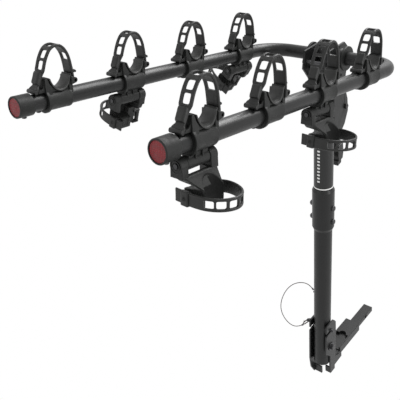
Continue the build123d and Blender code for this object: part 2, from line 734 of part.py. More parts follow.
# ------------------------------------------------------------------ anti-sway cradles
SWAY_TOP, SWAY_LOW = -49.0, -100.0
SWAY_FACE_X = 33.0
GROOVE_X, GROOVE_S, GROOVE_R = 40.0, -4.5, 19.0
SWAY_EAR_T, SWAY_EAR_R = 3.4, 5.2
SWAY_SWING = {"sway_right_1": 0.0, "sway_right_3": 0.0, "sway_left_2": 15.0, "sway_left_4": 32.0}


def hang(builder, reach, x, side, swing):
    """Turn a finished anti-sway piece outwards about its hinge."""
    hinge = crossbar + arm_back * reach + Vector(x, 0, 0) + arm_up * SWAY_AXIS_V
    builder.part = builder.part.rotate(Axis(hinge, arm_back), side * swing)


def make_sway_cradle(reach, x, side, swing, label):
    """Swinging cradle for the bicycle's seat tube: two knuckles and a tapered, grooved block."""
    with BuildPart() as cradle:
        for rear, front in KNUCKLES:
            with BuildSketch(cross_plane(reach - front, x)):
                with Locations((0, SWAY_AXIS_V)):
                    Circle(KNUCKLE_R)
                with BuildLine():
                    Polyline((-side * 12, SWAY_AXIS_V), (side * 12, SWAY_AXIS_V), (side * 14, SWAY_TOP - 2),
                             (-side * 12, SWAY_TOP - 2), close=True)
                make_face()
            extrude(amount=front - rear)
        rear, front = KNUCKLES[0][0], KNUCKLES[1][1]
        with BuildSketch(cross_plane(reach - front, x)):
            with BuildLine():
                Polyline((-side * 12, SWAY_TOP), (side * 13, SWAY_TOP), (side * SWAY_FACE_X, -74),
                         (side * SWAY_FACE_X, SWAY_LOW), (-side * 9, SWAY_LOW), close=True)
            make_face()
        extrude(amount=front - rear)
        with BuildSketch(side_plane(reach, x)):
            with BuildLine():
                Polyline((rear, -15), (front, -15), (front, -44), (20, -70), (20, SWAY_LOW),
                         (-29, SWAY_LOW), (-29, -72), (rear, -46), close=True)
            make_face()
        extrude(amount=60, both=True, mode=Mode.INTERSECT)
        with BuildSketch(down_plane(reach, x, SWAY_LOW - 5, side)):
            with Locations((GROOVE_X, GROOVE_S)):
                Circle(GROOVE_R)
        extrude(amount=side * 70, mode=Mode.SUBTRACT)
        with BuildSketch(down_plane(reach, x, SWAY_LOW - 5, side)):
            with Locations((-7, 14)):
                RectangleRounded(22, 32, 4)
        extrude(amount=side * 41, mode=Mode.SUBTRACT)
        for low in (SWAY_BAND[0] - 0.4 - SWAY_EAR_T, SWAY_BAND[1] + 0.4):
            with BuildSketch(down_plane(reach, x, low, side)):
                with BuildLine():
                    Polyline((SWAY_STRAP_PIN[0] - SWAY_EAR_R, 15), (SWAY_STRAP_PIN[0] + SWAY_EAR_R, 15),
                             (SWAY_STRAP_PIN[0] + SWAY_EAR_R, SWAY_STRAP_PIN[1]),
                             (SWAY_STRAP_PIN[0] - SWAY_EAR_R, SWAY_STRAP_PIN[1]), close=True)
                make_face()
                with Locations(SWAY_STRAP_PIN):
                    Circle(SWAY_EAR_R)
                    Circle(STRAP_PIN_R, mode=Mode.SUBTRACT)
            extrude(amount=side * SWAY_EAR_T)
        with BuildSketch(cross_plane(reach - front - 1, x)):
            with Locations((0, SWAY_AXIS_V)):
                Circle(SWAY_PIN_R + RUN_GAP)
        extrude(amount=front - rear + 2, mode=Mode.SUBTRACT)
        with BuildSketch(down_plane(reach, x, SWAY_LOW, side)):
            with Locations(SWAY_STRAP_PIN):
                Circle(STRAP_PIN_R)
        extrude(amount=side * 32, mode=Mode.SUBTRACT)
    hang(cradle, reach, x, side, swing)
    export(cradle, label)


SWAY_ROUTE = ((7, 29), (19, 39), (42, 37), (63, 25), (74, 3), (66, -20), (46, -35), (20, -39),
              (-4, -37), (-18, -36))
SWAY_WINDOWS = (0.36, 0.47, 0.575, 0.68)


def make_sway_strap(reach, x, side, swing, label):
    """Ladder strap round the seat tube, pivoted ahead of the groove, with its tail in a keeper."""
    plan = down_plane(reach, x, SWAY_BAND[0], side)
    height = SWAY_BAND[1] - SWAY_BAND[0]
    with BuildPart() as strap:
        with BuildSketch(plan):
            with BuildLine() as loop:
                FilletPolyline(*SWAY_ROUTE, radius=flat_radii(SWAY_ROUTE))
            trace(line_width=STRAP_T - 0.5)
            with Locations(SWAY_STRAP_PIN):
                Circle(4.6)
            with Locations((4, -40.5)):
                Rectangle(15, 5)
        extrude(amount=side * height)
        wire = loop.wires()[0]
        up = arm_up * side
        for at in SWAY_WINDOWS:
            spot = wire.position_at(at)
            along = wire.tangent_at(at)
            here = Plane(origin=plan.from_local_coords(spot) + up * (side * height / 2),
                         x_dir=plan.x_dir * along.X + plan.y_dir * along.Y,
                         z_dir=plan.x_dir * -along.Y + plan.y_dir * along.X)
            with Locations(here):
                Box(14.0, 12.0, 3 * STRAP_T, mode=Mode.SUBTRACT)
        with BuildSketch(plan):
            with Locations(SWAY_STRAP_PIN):
                Circle(STRAP_PIN_R + RUN_GAP)
        extrude(amount=side * height, mode=Mode.SUBTRACT)
    hang(strap, reach, x, side, swing)
    export(strap, label)


def make_sway_pins(spots):
    """Hinge pins of the anti-sway cradles, fixed in the barrels under the arms."""
    with BuildPart() as pins:
        for reach, x in spots:
            with BuildSketch(cross_plane(reach - KNUCKLES[1][1] - 1, x)):
                with Locations((0, SWAY_AXIS_V)):
                    Circle(SWAY_PIN_R)
            extrude(amount=KNUCKLES[1][1] - KNUCKLES[0][0] + 2)
    export(pins, "sway_hinge_pins")


# ------------------------------------------------------------------ build everything
make_hitch_bar()
make_bar_end_cap()
make_hitch_adapter()
make_base_plate(1, "base_plate_right")
make_base_plate(-1, "base_plate_left")
make_pivot_hardware()
make_mast_tubes()
make_mast_collar()
make_mast_label()
make_head_plate(1, "head_plate_right")
make_head_plate(-1, "head_plate_left")
make_head_bushings()
make_head_bolts()
make_latch_sector()
make_release_lever()
make_tilt_pin()
make_tether()
make_tether_anchor()
make_arm_tube()

sides = ((1, "right"), (-1, "left"))
sway_numbers = {"right": (1, 3), "left": (2, 4)}
cradle_spots = []
sway_spots = []
plain_spots = []
for side, name in sides:
    x = side * ARM_SPACING / 2
    first, pitch = CRADLE_SPACING[name]
    reaches = [first + pitch * (CRADLE_COUNT - number) for number in range(1, CRADLE_COUNT + 1)]
    make_arm_end(side, name)
    with BuildPart() as pads:
        for reach in reaches:
            add_pad(reach, x)
    export(pads, f"saddle_pads_{name}")
    for number, reach in enumerate(reaches, start=1):
        has_sway = number in sway_numbers[name]
        cradle_spots.append((reach, x))
        make_cradle(reach, x, f"cradle_{name}_{number}", has_sway)
        make_strap(reach, x, f"strap_{name}_{number}")
        if has_sway:
            sway_spots.append((reach, x))
            swing = SWAY_SWING[f"sway_{name}_{number}"]
            make_sway_cradle(reach, x, side, swing, f"sway_cradle_{name}_{number}")
            make_sway_strap(reach, x, side, swing, f"sway_strap_{name}_{number}")
        else:
            plain_spots.append((reach + 44, x))
make_cross_pins("strap_pins", cradle_spots, STRAP_PIN, STRAP_PIN_R, EAR_OUT)
make_sway_pins(sway_spots)
make_dome_screws("cap_screws", [(752.0, side * ARM_SPACING / 2) for side, _ in sides], 4.5, -CAP_R)
make_dome_screws("cradle_screws", plain_spots, 4.5, -ARM_D / 2)
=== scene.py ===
"""Looks of the hanging bicycle rack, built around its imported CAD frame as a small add-on.

Shapes are worked out in millimetres in a saddle's own frame (s forward along the arm, v up from
the arm's axis, x across) and placed by `Seat.place`, which gives metres in the shared frame.
"""

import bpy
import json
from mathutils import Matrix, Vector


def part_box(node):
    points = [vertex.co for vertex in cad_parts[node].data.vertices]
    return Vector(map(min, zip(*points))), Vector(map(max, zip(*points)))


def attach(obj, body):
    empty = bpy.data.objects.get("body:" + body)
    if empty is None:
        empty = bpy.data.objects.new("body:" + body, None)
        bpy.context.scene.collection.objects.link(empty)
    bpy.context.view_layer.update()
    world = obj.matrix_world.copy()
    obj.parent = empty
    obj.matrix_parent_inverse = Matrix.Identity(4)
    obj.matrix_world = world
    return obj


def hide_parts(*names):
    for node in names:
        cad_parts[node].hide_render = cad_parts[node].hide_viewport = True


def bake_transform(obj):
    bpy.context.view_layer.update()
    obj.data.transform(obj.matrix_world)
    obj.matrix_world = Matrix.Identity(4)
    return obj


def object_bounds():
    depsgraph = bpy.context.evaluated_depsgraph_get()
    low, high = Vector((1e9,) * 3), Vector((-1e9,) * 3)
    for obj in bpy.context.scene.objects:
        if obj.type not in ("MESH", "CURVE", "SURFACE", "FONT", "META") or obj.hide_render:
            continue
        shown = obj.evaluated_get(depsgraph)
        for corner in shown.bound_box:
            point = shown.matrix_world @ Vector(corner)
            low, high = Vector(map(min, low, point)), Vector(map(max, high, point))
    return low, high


bl_info = {
    "name": "Hanging Bike Rack",
    "version": (1, 0, 0),
    "blender": (4, 5, 0),
    "location": "View3D > Sidebar > Rack",
    "description": "Straps, saddles, finishes and studio of a hitch mounted bike rack",
    "category": "Object",
}

import json
import math

import bmesh
import bpy
import numpy as np
from bpy.props import FloatProperty, FloatVectorProperty, PointerProperty
from mathutils import Matrix, Vector

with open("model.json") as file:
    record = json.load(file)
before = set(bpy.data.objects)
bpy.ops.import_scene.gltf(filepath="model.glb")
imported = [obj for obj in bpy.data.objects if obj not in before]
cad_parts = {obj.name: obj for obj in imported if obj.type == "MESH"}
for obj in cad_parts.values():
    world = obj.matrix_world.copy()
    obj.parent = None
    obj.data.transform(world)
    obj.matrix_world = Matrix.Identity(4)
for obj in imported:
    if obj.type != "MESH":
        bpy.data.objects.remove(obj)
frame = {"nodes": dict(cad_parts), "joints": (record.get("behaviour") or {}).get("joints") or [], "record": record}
CAD_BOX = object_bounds()
MM = 0.001
JOINTS = {joint["name"]: joint for joint in frame["joints"]}
SIDES = {"right": 1, "left": -1}
SADDLES = (1, 2, 3, 4)
SWAYS = [name[len("sway_cradle_"):] for name in frame["nodes"] if name.startswith("sway_cradle_")]
STRAP_PIN = (31.0, 30.0)          # strap pivot in a saddle's frame
SWAY_PIN = (7.0, 29.0)            # pivot of the anti-sway strap, outboard and forward
SWAY_AXIS_V = -32.5
BAND_LOW, BAND_HIGH = -98.0, -76.0


def joint_point(name):
    """Place of a joint in metres."""
    return np.array(JOINTS[name]["pos_m"], float)


# arm directions, from the first and last strap pivots of one arm
_run = joint_point("strap_right_1_open") - joint_point("strap_right_4_open")
BACK = _run / np.linalg.norm(_run)
UP = np.array((0.0, BACK[2], -BACK[1]))
ACROSS = np.array((1.0, 0.0, 0.0))


class Seat:
    """Frame of one saddle: origin on the arm's axis below it, s forward, v up, x across."""

    def __init__(self, key):
        pin = joint_point(f"strap_{key}_open")
        self.side = SIDES[key.split("_")[0]]
        self.origin = pin + BACK * STRAP_PIN[0] * MM - UP * STRAP_PIN[1] * MM

    def place(self, s, v, x):
        """Metres in the shared frame of points given by arrays s, v and x."""
        s, v, x = np.broadcast_arrays(s, v, x)
        steps = -BACK * s[..., None] + UP * v[..., None] + ACROSS * x[..., None]
        return self.origin + steps * MM


class SwaySeat(Seat):
    """The same frame turned about the anti-sway hinge, so that the cradle hangs straight in it."""

    def __init__(self, key):
        super().__init__(key)
        self.up = np.array(JOINTS[f"sway_strap_{key}_open"]["axis"], float) * self.side
        self.across = np.cross(self.up, BACK)
        self.hinge = self.origin + UP * SWAY_AXIS_V * MM

    def place(self, s, v, x):
        """Metres in the shared frame of points given by arrays s, v and x."""
        s, v, x = np.broadcast_arrays(s, v, x)
        steps = -BACK * s[..., None] + self.up * (v - SWAY_AXIS_V)[..., None] + self.across * x[..., None]
        return self.hinge + steps * MM


# ------------------------------------------------------------------ grids and outlines
def grid_quads(rows, cols, wrap_rows=False, wrap_cols=False):
    """Quads of a rows x cols grid of points, numbered row by row; either way may close on itself."""
    r = np.arange(rows if wrap_rows else rows - 1)
    c = np.arange(cols if wrap_cols else cols - 1)
    r, c = np.meshgrid(r, c, indexing="ij")
    r2, c2 = (r + 1) % rows, (c + 1) % cols
    return np.stack([r * cols + c, r2 * cols + c, r2 * cols + c2, r * cols + c2], -1).reshape(-1, 4)


class Shell:
    """Points and faces of one piece, gathered from several grids."""

    def __init__(self):
        self.points = []
        self.faces = []
        self.finish = []
        self.count = 0

    def add(self, points, faces, finish=0):
        points = np.asarray(points, float).reshape(-1, 3)
        faces = np.asarray(faces) + self.count
        self.points.append(points)
        self.faces += [tuple(face) for face in faces.tolist()]
        self.finish += np.broadcast_to(finish, len(faces)).tolist()
        self.count += len(points)

    def add_grid(self, points, wrap_rows=False, wrap_cols=False, finish=0):
        """A grid of points of shape (rows, cols, 3)."""
        self.add(points, grid_quads(points.shape[0], points.shape[1], wrap_rows, wrap_cols), finish)

    def add_tube(self, rings, finish=0):
        """Closed rings (rows, cols, 3) with a flat cap on the first and the last."""
        rows, cols = rings.shape[:2]
        self.add_grid(rings, wrap_cols=True, finish=finish)
        caps = np.stack([np.arange(cols)[::-1], np.arange(cols) + (rows - 1) * cols])
        self.add(rings, caps, finish)


def build_piece(name, shell, finishes, body, replaces=(), crease=34, uv=None, ride=True):
    """Mesh object from a shell: doubles merged, faces outward, smooth but for its creases."""
    mesh = bpy.data.meshes.new(name)
    mesh.from_pydata(np.vstack(shell.points).tolist(), [], shell.faces)
    mesh.polygons.foreach_set("material_index", shell.finish)
    for finish in finishes:
        mesh.materials.append(finish)
    if uv is not None:
        corners = np.empty(len(mesh.loops), np.int64)
        mesh.loops.foreach_get("vertex_index", corners)
        layer = mesh.uv_layers.new(name="UVMap")
        layer.data.foreach_set("uv", np.asarray(uv, np.float32)[corners].ravel())
    work = bmesh.new()
    work.from_mesh(mesh)
    bmesh.ops.remove_doubles(work, verts=work.verts, dist=0.01 * MM)
    bmesh.ops.dissolve_degenerate(work, edges=work.edges, dist=0.001 * MM)
    bmesh.ops.recalc_face_normals(work, faces=work.faces)
    work.to_mesh(mesh)
    work.free()
    mesh.shade_smooth()
    mesh.set_sharp_from_angle(angle=math.radians(crease))
    piece = bpy.data.objects.new(name, mesh)
    bpy.context.scene.collection.objects.link(piece)
    if ride:
        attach(piece, body)
    if replaces:
        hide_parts(*replaces)
    return piece


def smooth_line(corners, steps=24):
    """Quadratic B-spline of these corners: each pulls one parabola between the midpoints of its runs."""
    corners = np.asarray(corners, float)
    joints = (corners[:-1] + corners[1:]) / 2
    joints[0], joints[-1] = corners[0], corners[-1]
    t = np.linspace(0, 1, steps, endpoint=False)[:, None, None]
    line = (1 - t) ** 2 * joints[:-1] + 2 * t * (1 - t) * corners[1:-1] + t ** 2 * joints[1:]
    line = line.transpose(1, 0, 2).reshape(-1, corners.shape[1])
    return np.vstack([line, corners[-1:]])


class Track:
    """A flat line read by its length: point, and unit normal on the given side."""

    def __init__(self, corners, outside):
        self.line = smooth_line(corners)
        steps = np.diff(self.line, axis=0)
        self.at = np.concatenate([[0], np.cumsum(np.hypot(*steps.T))])
        self.length = self.at[-1]
        tangent = np.gradient(self.line, axis=0)
        tangent /= np.hypot(*tangent.T)[:, None]
        self.normal = outside * np.stack([tangent[:, 1], -tangent[:, 0]], -1)

    def read(self, length, offset):
        """Points at these lengths, moved out by offset."""
        length = np.clip(length, 0, self.length)
        a = np.interp(length, self.at, self.line[:, 0])
        b = np.interp(length, self.at, self.line[:, 1])
        na = np.interp(length, self.at, self.normal[:, 0])
        nb = np.interp(length, self.at, self.normal[:, 1])
        size = np.hypot(na, nb)
        return a + na / size * offset, b + nb / size * offset


def rounded_outline(points, radius, steps=5):
    """Closed outline whose corners are parabolas that start `radius` from them, or nearer on short runs."""
    corner = np.asarray(points, float)
    radius = np.broadcast_to(np.asarray(radius, float), len(corner))[:, None]
    back, ahead = np.roll(corner, 1, 0) - corner, np.roll(corner, -1, 0) - corner
    back_long = np.linalg.norm(back, axis=1, keepdims=True)
    ahead_long = np.linalg.norm(ahead, axis=1, keepdims=True)
    cut = np.minimum(radius, 0.49 * np.minimum(back_long, ahead_long))
    a, b = corner + back / back_long * cut, corner + ahead / ahead_long * cut
    t = np.linspace(0, 1, steps)[:, None, None]
    curve = (1 - t) ** 2 * a + 2 * t * (1 - t) * corner + t ** 2 * b
    return curve.transpose(1, 0, 2).reshape(-1, 2)


def arc_points(centre, radius, start, end, count):
    """Points on a circle, from one angle in degrees to the other."""
    angle = np.radians(np.linspace(start, end, count))
    return np.stack([centre[0] + radius * np.cos(angle), centre[1] + radius * np.sin(angle)], -1)


def slab_rings(outline, low, high, radius, steps=5):
    """Rings of a flat outline carried from low to high; each side shrinks by a quarter circle."""
    outline = np.asarray(outline, float)
    tangent = np.roll(outline, -1, 0) - np.roll(outline, 1, 0)
    area = np.sum(outline[:, 0] * np.roll(outline[:, 1], -1) - np.roll(outline[:, 0], -1) * outline[:, 1])
    outward = np.sign(area) * np.stack([tangent[:, 1], -tangent[:, 0]], -1)
    outward /= np.maximum(np.linalg.norm(outward, axis=1, keepdims=True), 1e-9)
    q = np.linspace(0, np.pi / 2, steps)
    lift = np.concatenate([low + radius * (1 - np.sin(q[::-1])), high - radius * (1 - np.sin(q))])
    shrink = radius * (1 - np.cos(np.concatenate([q[::-1], q])))
    flat = outline[None] - outward[None] * shrink[:, None, None]
    return flat[..., 0], flat[..., 1], np.broadcast_to(lift[:, None], flat.shape[:2])


def lathe_rings(profile, count=48):
    """Rings of a profile (along, radius) turned about its first axis: along, and the two across."""
    profile = np.asarray(profile, float)
    turn = np.linspace(0, 2 * np.pi, count, endpoint=False)
    along = np.broadcast_to(profile[:, :1], (len(profile), count))
    return along, profile[:, 1:] * np.cos(turn), profile[:, 1:] * np.sin(turn)


# ------------------------------------------------------------------ materials
def new_finish(name, colour, roughness, metallic=0.0, coat=0.0, specular=0.5):
    """Principled material and its node tree, shader and bump chain ready to extend."""
    finish = bpy.data.materials.new(name)
    finish.use_nodes = True
    shader = finish.node_tree.nodes["Principled BSDF"]
    shader.inputs["Base Color"].default_value = (*colour, 1.0)
    shader.inputs["Roughness"].default_value = roughness
    shader.inputs["Metallic"].default_value = metallic
    shader.inputs["Coat Weight"].default_value = coat
    shader.inputs["Coat Roughness"].default_value = 0.25
    shader.inputs["Specular IOR Level"].default_value = specular
    return finish, finish.node_tree, shader


def object_coordinates(tree):
    return tree.nodes.new("ShaderNodeTexCoord").outputs["Object"]


def noise(tree, where, scale, detail=2.0, roughness=0.5):
    """Noise value between 0 and 1 at this many cells to the metre."""
    node = tree.nodes.new("ShaderNodeTexNoise")
    node.inputs["Scale"].default_value = scale
    node.inputs["Detail"].default_value = detail
    node.inputs["Roughness"].default_value = roughness
    tree.links.new(where, node.inputs["Vector"])
    return node.outputs["Fac"]


def spread(tree, value, low, high, from_low=0.3, from_high=0.7):
    """Value remapped so that its usual range covers low to high."""
    node = tree.nodes.new("ShaderNodeMapRange")
    node.inputs["From Min"].default_value = from_low
    node.inputs["From Max"].default_value = from_high
    node.inputs["To Min"].default_value = low
    node.inputs["To Max"].default_value = high
    tree.links.new(value, node.inputs["Value"])
    return node.outputs["Result"]


def blend_colours(tree, value, first, second):
    """Colour that goes from first to second with the value."""
    node = tree.nodes.new("ShaderNodeMix")
    node.data_type = "RGBA"
    node.inputs["A"].default_value = (*first, 1.0)
    node.inputs["B"].default_value = (*second, 1.0)
    tree.links.new(value, node.inputs["Factor"])
    return node.outputs["Result"]


def add_bump(tree, shader, heights):
    """Bumps one on another from (value, distance in metres) pairs."""
    normal = None
    for value, distance in heights:
        node = tree.nodes.new("ShaderNodeBump")
        node.inputs["Strength"].default_value = 1.0
        node.inputs["Distance"].default_value = distance
        tree.links.new(value, node.inputs["Height"])
        if normal is not None:
            tree.links.new(normal, node.inputs["Normal"])
        normal = node.outputs["Normal"]
    tree.links.new(normal, shader.inputs["Normal"])


def grained(name, colour, rough, grain, mottle=0.25, coat=0.0, specular=0.5, metallic=0.0):
    """Finish with fine grain: colour and roughness drift slowly, bump has a coarse and a fine layer.

    rough is (low, high); grain is ((cells to the metre, bump in metres), ...).
    """
    finish, tree, shader = new_finish(name, colour, rough[0], metallic, coat, specular)
    where = object_coordinates(tree)
    slow = noise(tree, where, 38.0, 4.0, 0.6)
    dark = tuple(c * (1 - mottle) for c in colour)
    pale = tuple(c * (1 + mottle) for c in colour)
    colours = blend_colours(tree, spread(tree, slow, 0.0, 1.0), dark, pale)
    tree.links.new(colours, shader.inputs["Base Color"])
    patches = noise(tree, where, 140.0, 3.0, 0.55)
    tree.links.new(spread(tree, patches, *rough), shader.inputs["Roughness"])
    add_bump(tree, shader, [(noise(tree, where, scale, 2.0), depth) for scale, depth in grain])
    return finish


def powder_coat(colour):
    """Satin powder coat with a fine orange peel."""
    return grained("black_powder_coat", colour, (0.34, 0.42), ((900.0, 0.00005), (240.0, 0.00006)),
                   mottle=0.12, specular=0.30)


def moulded_nylon(colour):
    """Matte moulded nylon with a spark-eroded grain."""
    return grained("moulded_nylon", colour, (0.42, 0.56), ((2100.0, 0.00012), (520.0, 0.00005)), mottle=0.22,
                   specular=0.27)


def strap_rubber(colour):
    """Ladder-strap rubber: softer gloss and faint flow marks."""
    return grained("strap_rubber", colour, (0.38, 0.52), ((1500.0, 0.00008), (160.0, 0.0001)), mottle=0.18,
                   specular=0.30)


def soft_liner(colour):
    """Smooth rubbery liner of the saddles."""
    return grained("soft_liner", colour, (0.40, 0.50), ((1200.0, 0.00005), (90.0, 0.0001)), mottle=0.15,
                   specular=0.34)


def groove_painted_shade(colour):
    """Painted shade in the seat-tube groove: the nylon's colour darkened to 0.55 of itself, duller and ribbed."""
    # the 0.55 darkening is painted shade, not a separate darker part
    return grained("groove_painted_shade", tuple(c * 0.55 for c in colour), (0.6, 0.75),
                   ((1800.0, 0.0001), (420.0, 0.00012)), mottle=0.3, specular=0.2)


def black_zinc(colour):
    """Black zinc plating on steel fasteners, rubbed paler in patches."""
    return grained("black_zinc", colour, (0.30, 0.46), ((1700.0, 0.00003), (300.0, 0.00003)),
                   mottle=0.5, metallic=0.85)


def red_reflector(colour):
    """Red moulded reflector: small prisms under a clear face, with each prism's middle painted paler as a painted
    glint.
    """
    finish, tree, shader = new_finish("red_reflector", colour, 0.30, coat=0.15, specular=0.25)
    where = object_coordinates(tree)
    cells = tree.nodes.new("ShaderNodeTexVoronoi")
    cells.inputs["Scale"].default_value = 330.0
    cells.inputs["Randomness"].default_value = 0.15
    tree.links.new(where, cells.inputs["Vector"])
    # painted glint: the base colour turns paler towards the middle of each prism cell
    painted_glint_mask = spread(tree, cells.outputs["Distance"], 0.0, 1.0, 0.05, 0.65)
    pale = tuple(min(1.0, c * 1.8) for c in colour)
    tree.links.new(blend_colours(tree, painted_glint_mask, pale, colour), shader.inputs["Base Color"])
    add_bump(tree, shader, [(cells.outputs["Distance"], 0.0012)])
    return finish


def twisted_wire(colour):
    """Dark steel strands laid slantwise round the cord, with a drift of tarnish."""
    finish, tree, shader = new_finish("twisted_wire", colour, 0.42, metallic=0.35, specular=0.25)
    uv = tree.nodes.new("ShaderNodeTexCoord").outputs["UV"]
    strands = tree.nodes.new("ShaderNodeTexWave")
    strands.bands_direction = "DIAGONAL"
    strands.inputs["Scale"].default_value = 40.0
    tree.links.new(uv, strands.inputs["Vector"])
    add_bump(tree, shader, [(strands.outputs["Fac"], 0.0003)])
    slow = noise(tree, object_coordinates(tree), 60.0, 3.0)
    dull = tuple(c * 0.55 for c in colour)
    tarnished = blend_colours(tree, spread(tree, slow, 0.0, 1.0), dull, colour)
    tree.links.new(tarnished, shader.inputs["Base Color"])
    return finish


def printed_wrap(colour, ink):
    """Black film with a column of plain pale bars on two sides and a pale line round its foot.

    The piece's UV map runs once round the mast and once up the wrap.
    """
    finish, tree, shader = new_finish("printed_wrap", colour, 0.38, specular=0.4)
    uv = tree.nodes.new("ShaderNodeTexCoord").outputs["UV"]
    split = tree.nodes.new("ShaderNodeSeparateXYZ")
    tree.links.new(uv, split.inputs["Vector"])

    def maths(operation, a, b=None, c=None):
        node = tree.nodes.new("ShaderNodeMath")
        node.operation = operation
        for socket, value in zip(node.inputs, (a, b, c)):
            if value is None:
                continue
            if isinstance(value, float):
                socket.default_value = value
            else:
                tree.links.new(value, socket)
        return node.outputs["Value"]

    half_turn = maths("FRACT", maths("MULTIPLY", split.outputs["X"], 2.0))
    near_column = maths("COMPARE", half_turn, 0.5, 0.045)
    step = maths("FRACT", maths("MULTIPLY", split.outputs["Y"], 15.0))
    bar = maths("MULTIPLY", near_column, maths("COMPARE", step, 0.5, 0.24))
    inside = maths("COMPARE", split.outputs["Y"], 0.52, 0.4)
    foot = maths("LESS_THAN", split.outputs["Y"], 0.022)
    ink_mask = maths("MAXIMUM", maths("MULTIPLY", bar, inside), foot)
    tree.links.new(blend_colours(tree, ink_mask, colour, ink), shader.inputs["Base Color"])
    add_bump(tree, shader, [(noise(tree, object_coordinates(tree), 700.0), 0.00004)])
    return finish


FINISHES = {}


def finish_named(name):
    return FINISHES[name]


# ------------------------------------------------------------------ ladder straps
def across_samples(half, edge):
    """Places across a strap, closer together towards its rounded edges."""
    near = half - edge * (1 - np.sin(np.radians((90, 62, 36, 12, -20))))
    inner = np.array((0.55, 0.2)) * half
    right = np.concatenate([near, inner])
    return np.concatenate([-right, [0.0], right[::-1]])


class LadderStrap:
    """Flat strap with rounded edges and rounded windows, bent along a track.

    Every point is laid flat as (length, width, height) and then carried onto the track: its
    length along the line, its height along the line's normal and its width across.
    """
    EDGE = 1.5
    HOLE_EDGE = 0.7

    def __init__(self, track, half, thickness, place):
        self.track, self.half, self.thick = track, half, thickness / 2
        self.place = place
        self.shell = Shell()

    def height(self, length, width, half, gap):
        """Half thickness: a quarter circle at the sides and ends, a small one at a hole, a low rim."""
        side = np.clip((half - np.abs(width)) / self.EDGE, 0, 1)
        ends = np.clip(np.minimum(length, self.track.length - length) / self.EDGE, 0, 1)
        hole = np.clip(gap / self.HOLE_EDGE, 0, 1)
        rim = 0.35 * np.exp(-((half - np.abs(width) - 2.6) / 1.1) ** 2)
        flat = np.sqrt(1 - (1 - side) ** 2) * np.sqrt(1 - (1 - ends) ** 2) * (self.thick + rim)
        return flat - self.HOLE_EDGE * (1 - np.sqrt(1 - (1 - hole) ** 2))

    def carry(self, length, width, height):
        a, b = self.track.read(length, height)
        return self.place(a, b, width)

    def skin(self, length, width, height, finish=0):
        """Upper and lower face of one stretch."""
        for sign in (1, -1):
            self.shell.add_grid(self.carry(length, width, sign * height), finish=finish)

    def plain(self, start, end, half_at=None):
        """Stretch without holes; half_at gives its half width at each length."""
        count = max(3, int((end - start) / 2.0) + 1)
        length = np.linspace(start, end, count)
        for edge, sense in ((0.0, 1), (self.track.length, -1)):
            if abs((start if sense > 0 else end) - edge) < 1e-6:
                bend = edge + sense * self.EDGE * (1 - np.cos(np.radians((0, 30, 60, 90))))
                rest = length[(length > bend.max()) if sense > 0 else (length < bend.min())]
                length = np.sort(np.concatenate([bend, rest]))
        half = np.full_like(length, self.half) if half_at is None else half_at(length)
        share = across_samples(self.half, self.EDGE) / self.half
        length, width = length[:, None] + 0 * share, half[:, None] * share
        far = np.full_like(width, 9.0)
        self.skin(length, width, self.height(length, width, half[:, None], far))

    def window(self, middle, long_half, wide_half, corner):
        """Stretch with one rounded window: rows run from the hole's rim out to the stretch's edge."""
        cell = long_half + 1.3
        width = across_samples(self.half, self.EDGE)
        along = np.linspace(-cell, cell, 11)
        edge = np.concatenate([
            np.stack([np.full_like(width, -cell), width], -1)[:-1],
            np.stack([along, np.full_like(along, self.half)], -1)[:-1],
            np.stack([np.full_like(width, cell), width[::-1]], -1)[:-1],
            np.stack([along[::-1], np.full_like(along, -self.half)], -1)[:-1]])
        hole = np.array((long_half, wide_half))
        spot = edge * hole / np.array((cell, self.half))
        core = np.clip(spot, corner - hole, hole - corner)
        off = spot - core
        rim = core + off / np.maximum(np.linalg.norm(off, axis=1, keepdims=True), 1e-6) * corner
        share = np.array((0.0, 0.04, 0.1, 0.2, 0.4, 0.62, 0.76, 0.86, 0.93, 0.97, 1.0))[:, None, None]
        flat = rim + (edge - rim) * share
        gap = np.linalg.norm(flat - rim, axis=2)
        length, wide = flat[..., 0] + middle, flat[..., 1]
        height = self.height(length, wide, self.half, gap)
        rows, cols = height.shape
        faces = grid_quads(rows, cols, wrap_cols=True)
        for sign in (1, -1):
            self.shell.add(self.carry(length, wide, sign * height), faces)
        wall = np.stack([height[0], -height[0]])
        hole = self.carry(np.stack([length[0]] * 2), np.stack([wide[0]] * 2), wall)
        self.shell.add_grid(hole, wrap_cols=True)

    def raised_pad(self, start, end, half, rise, finish=0):
        """Pad on the outer face: a flat top that falls off steeply at its four sides."""
        u, w = np.linspace(-1, 1, 21), np.linspace(-1, 1, 17)
        u, w = np.sin(u * np.pi / 2), np.sin(w * np.pi / 2)
        u, w = np.meshgrid(u, w, indexing="ij")
        top = ((1 - np.abs(u) ** 7) * (1 - np.abs(w) ** 7)) ** 0.5
        length = (start + end) / 2 + u * (end - start) / 2
        upper = self.carry(length, w * half, self.thick * 0.4 + rise * top)
        lower = self.carry(length, w * half, np.full_like(u, self.thick * 0.4))
        self.shell.add_grid(upper, finish=finish)
        self.shell.add_grid(lower, finish=finish)


def rod_rings(place_line, radius, half, ends=1.2, count=20):
    """Rings of a rod across a strap with rounded ends: (across, circle a, circle b)."""
    profile = [(-half, 0.0), (-half, radius - ends), (-half + ends * 0.3, radius - ends * 0.3),
               (-half + ends, radius), (half - ends, radius), (half - ends * 0.3, radius - ends * 0.3),
               (half, radius - ends), (half, 0.0)]
    x, a, b = lathe_rings(profile, count)
    return place_line(a, b, x)


STRAP_ROUTE = ((31, 30), (28.5, 54), (22.5, 80), (7.5, 97), (-13, 95), (-26, 76), (-33, 55),
               (-38.5, 40), (-44, 29.5), (-48.5, 24.5), (-52.5, 20.5))
STRAP_WINDOWS = (44.5, 82.5, 105.5, 126.0)
SWAY_ROUTE = ((7, 29), (19, 39), (42, 37.5), (64, 26), (76, 3), (68, -21), (47, -37), (20, -41),
              (-4, -38), (-18, -37))
SWAY_WINDOWS = (77.0, 97.0, 117.0, 136.0)


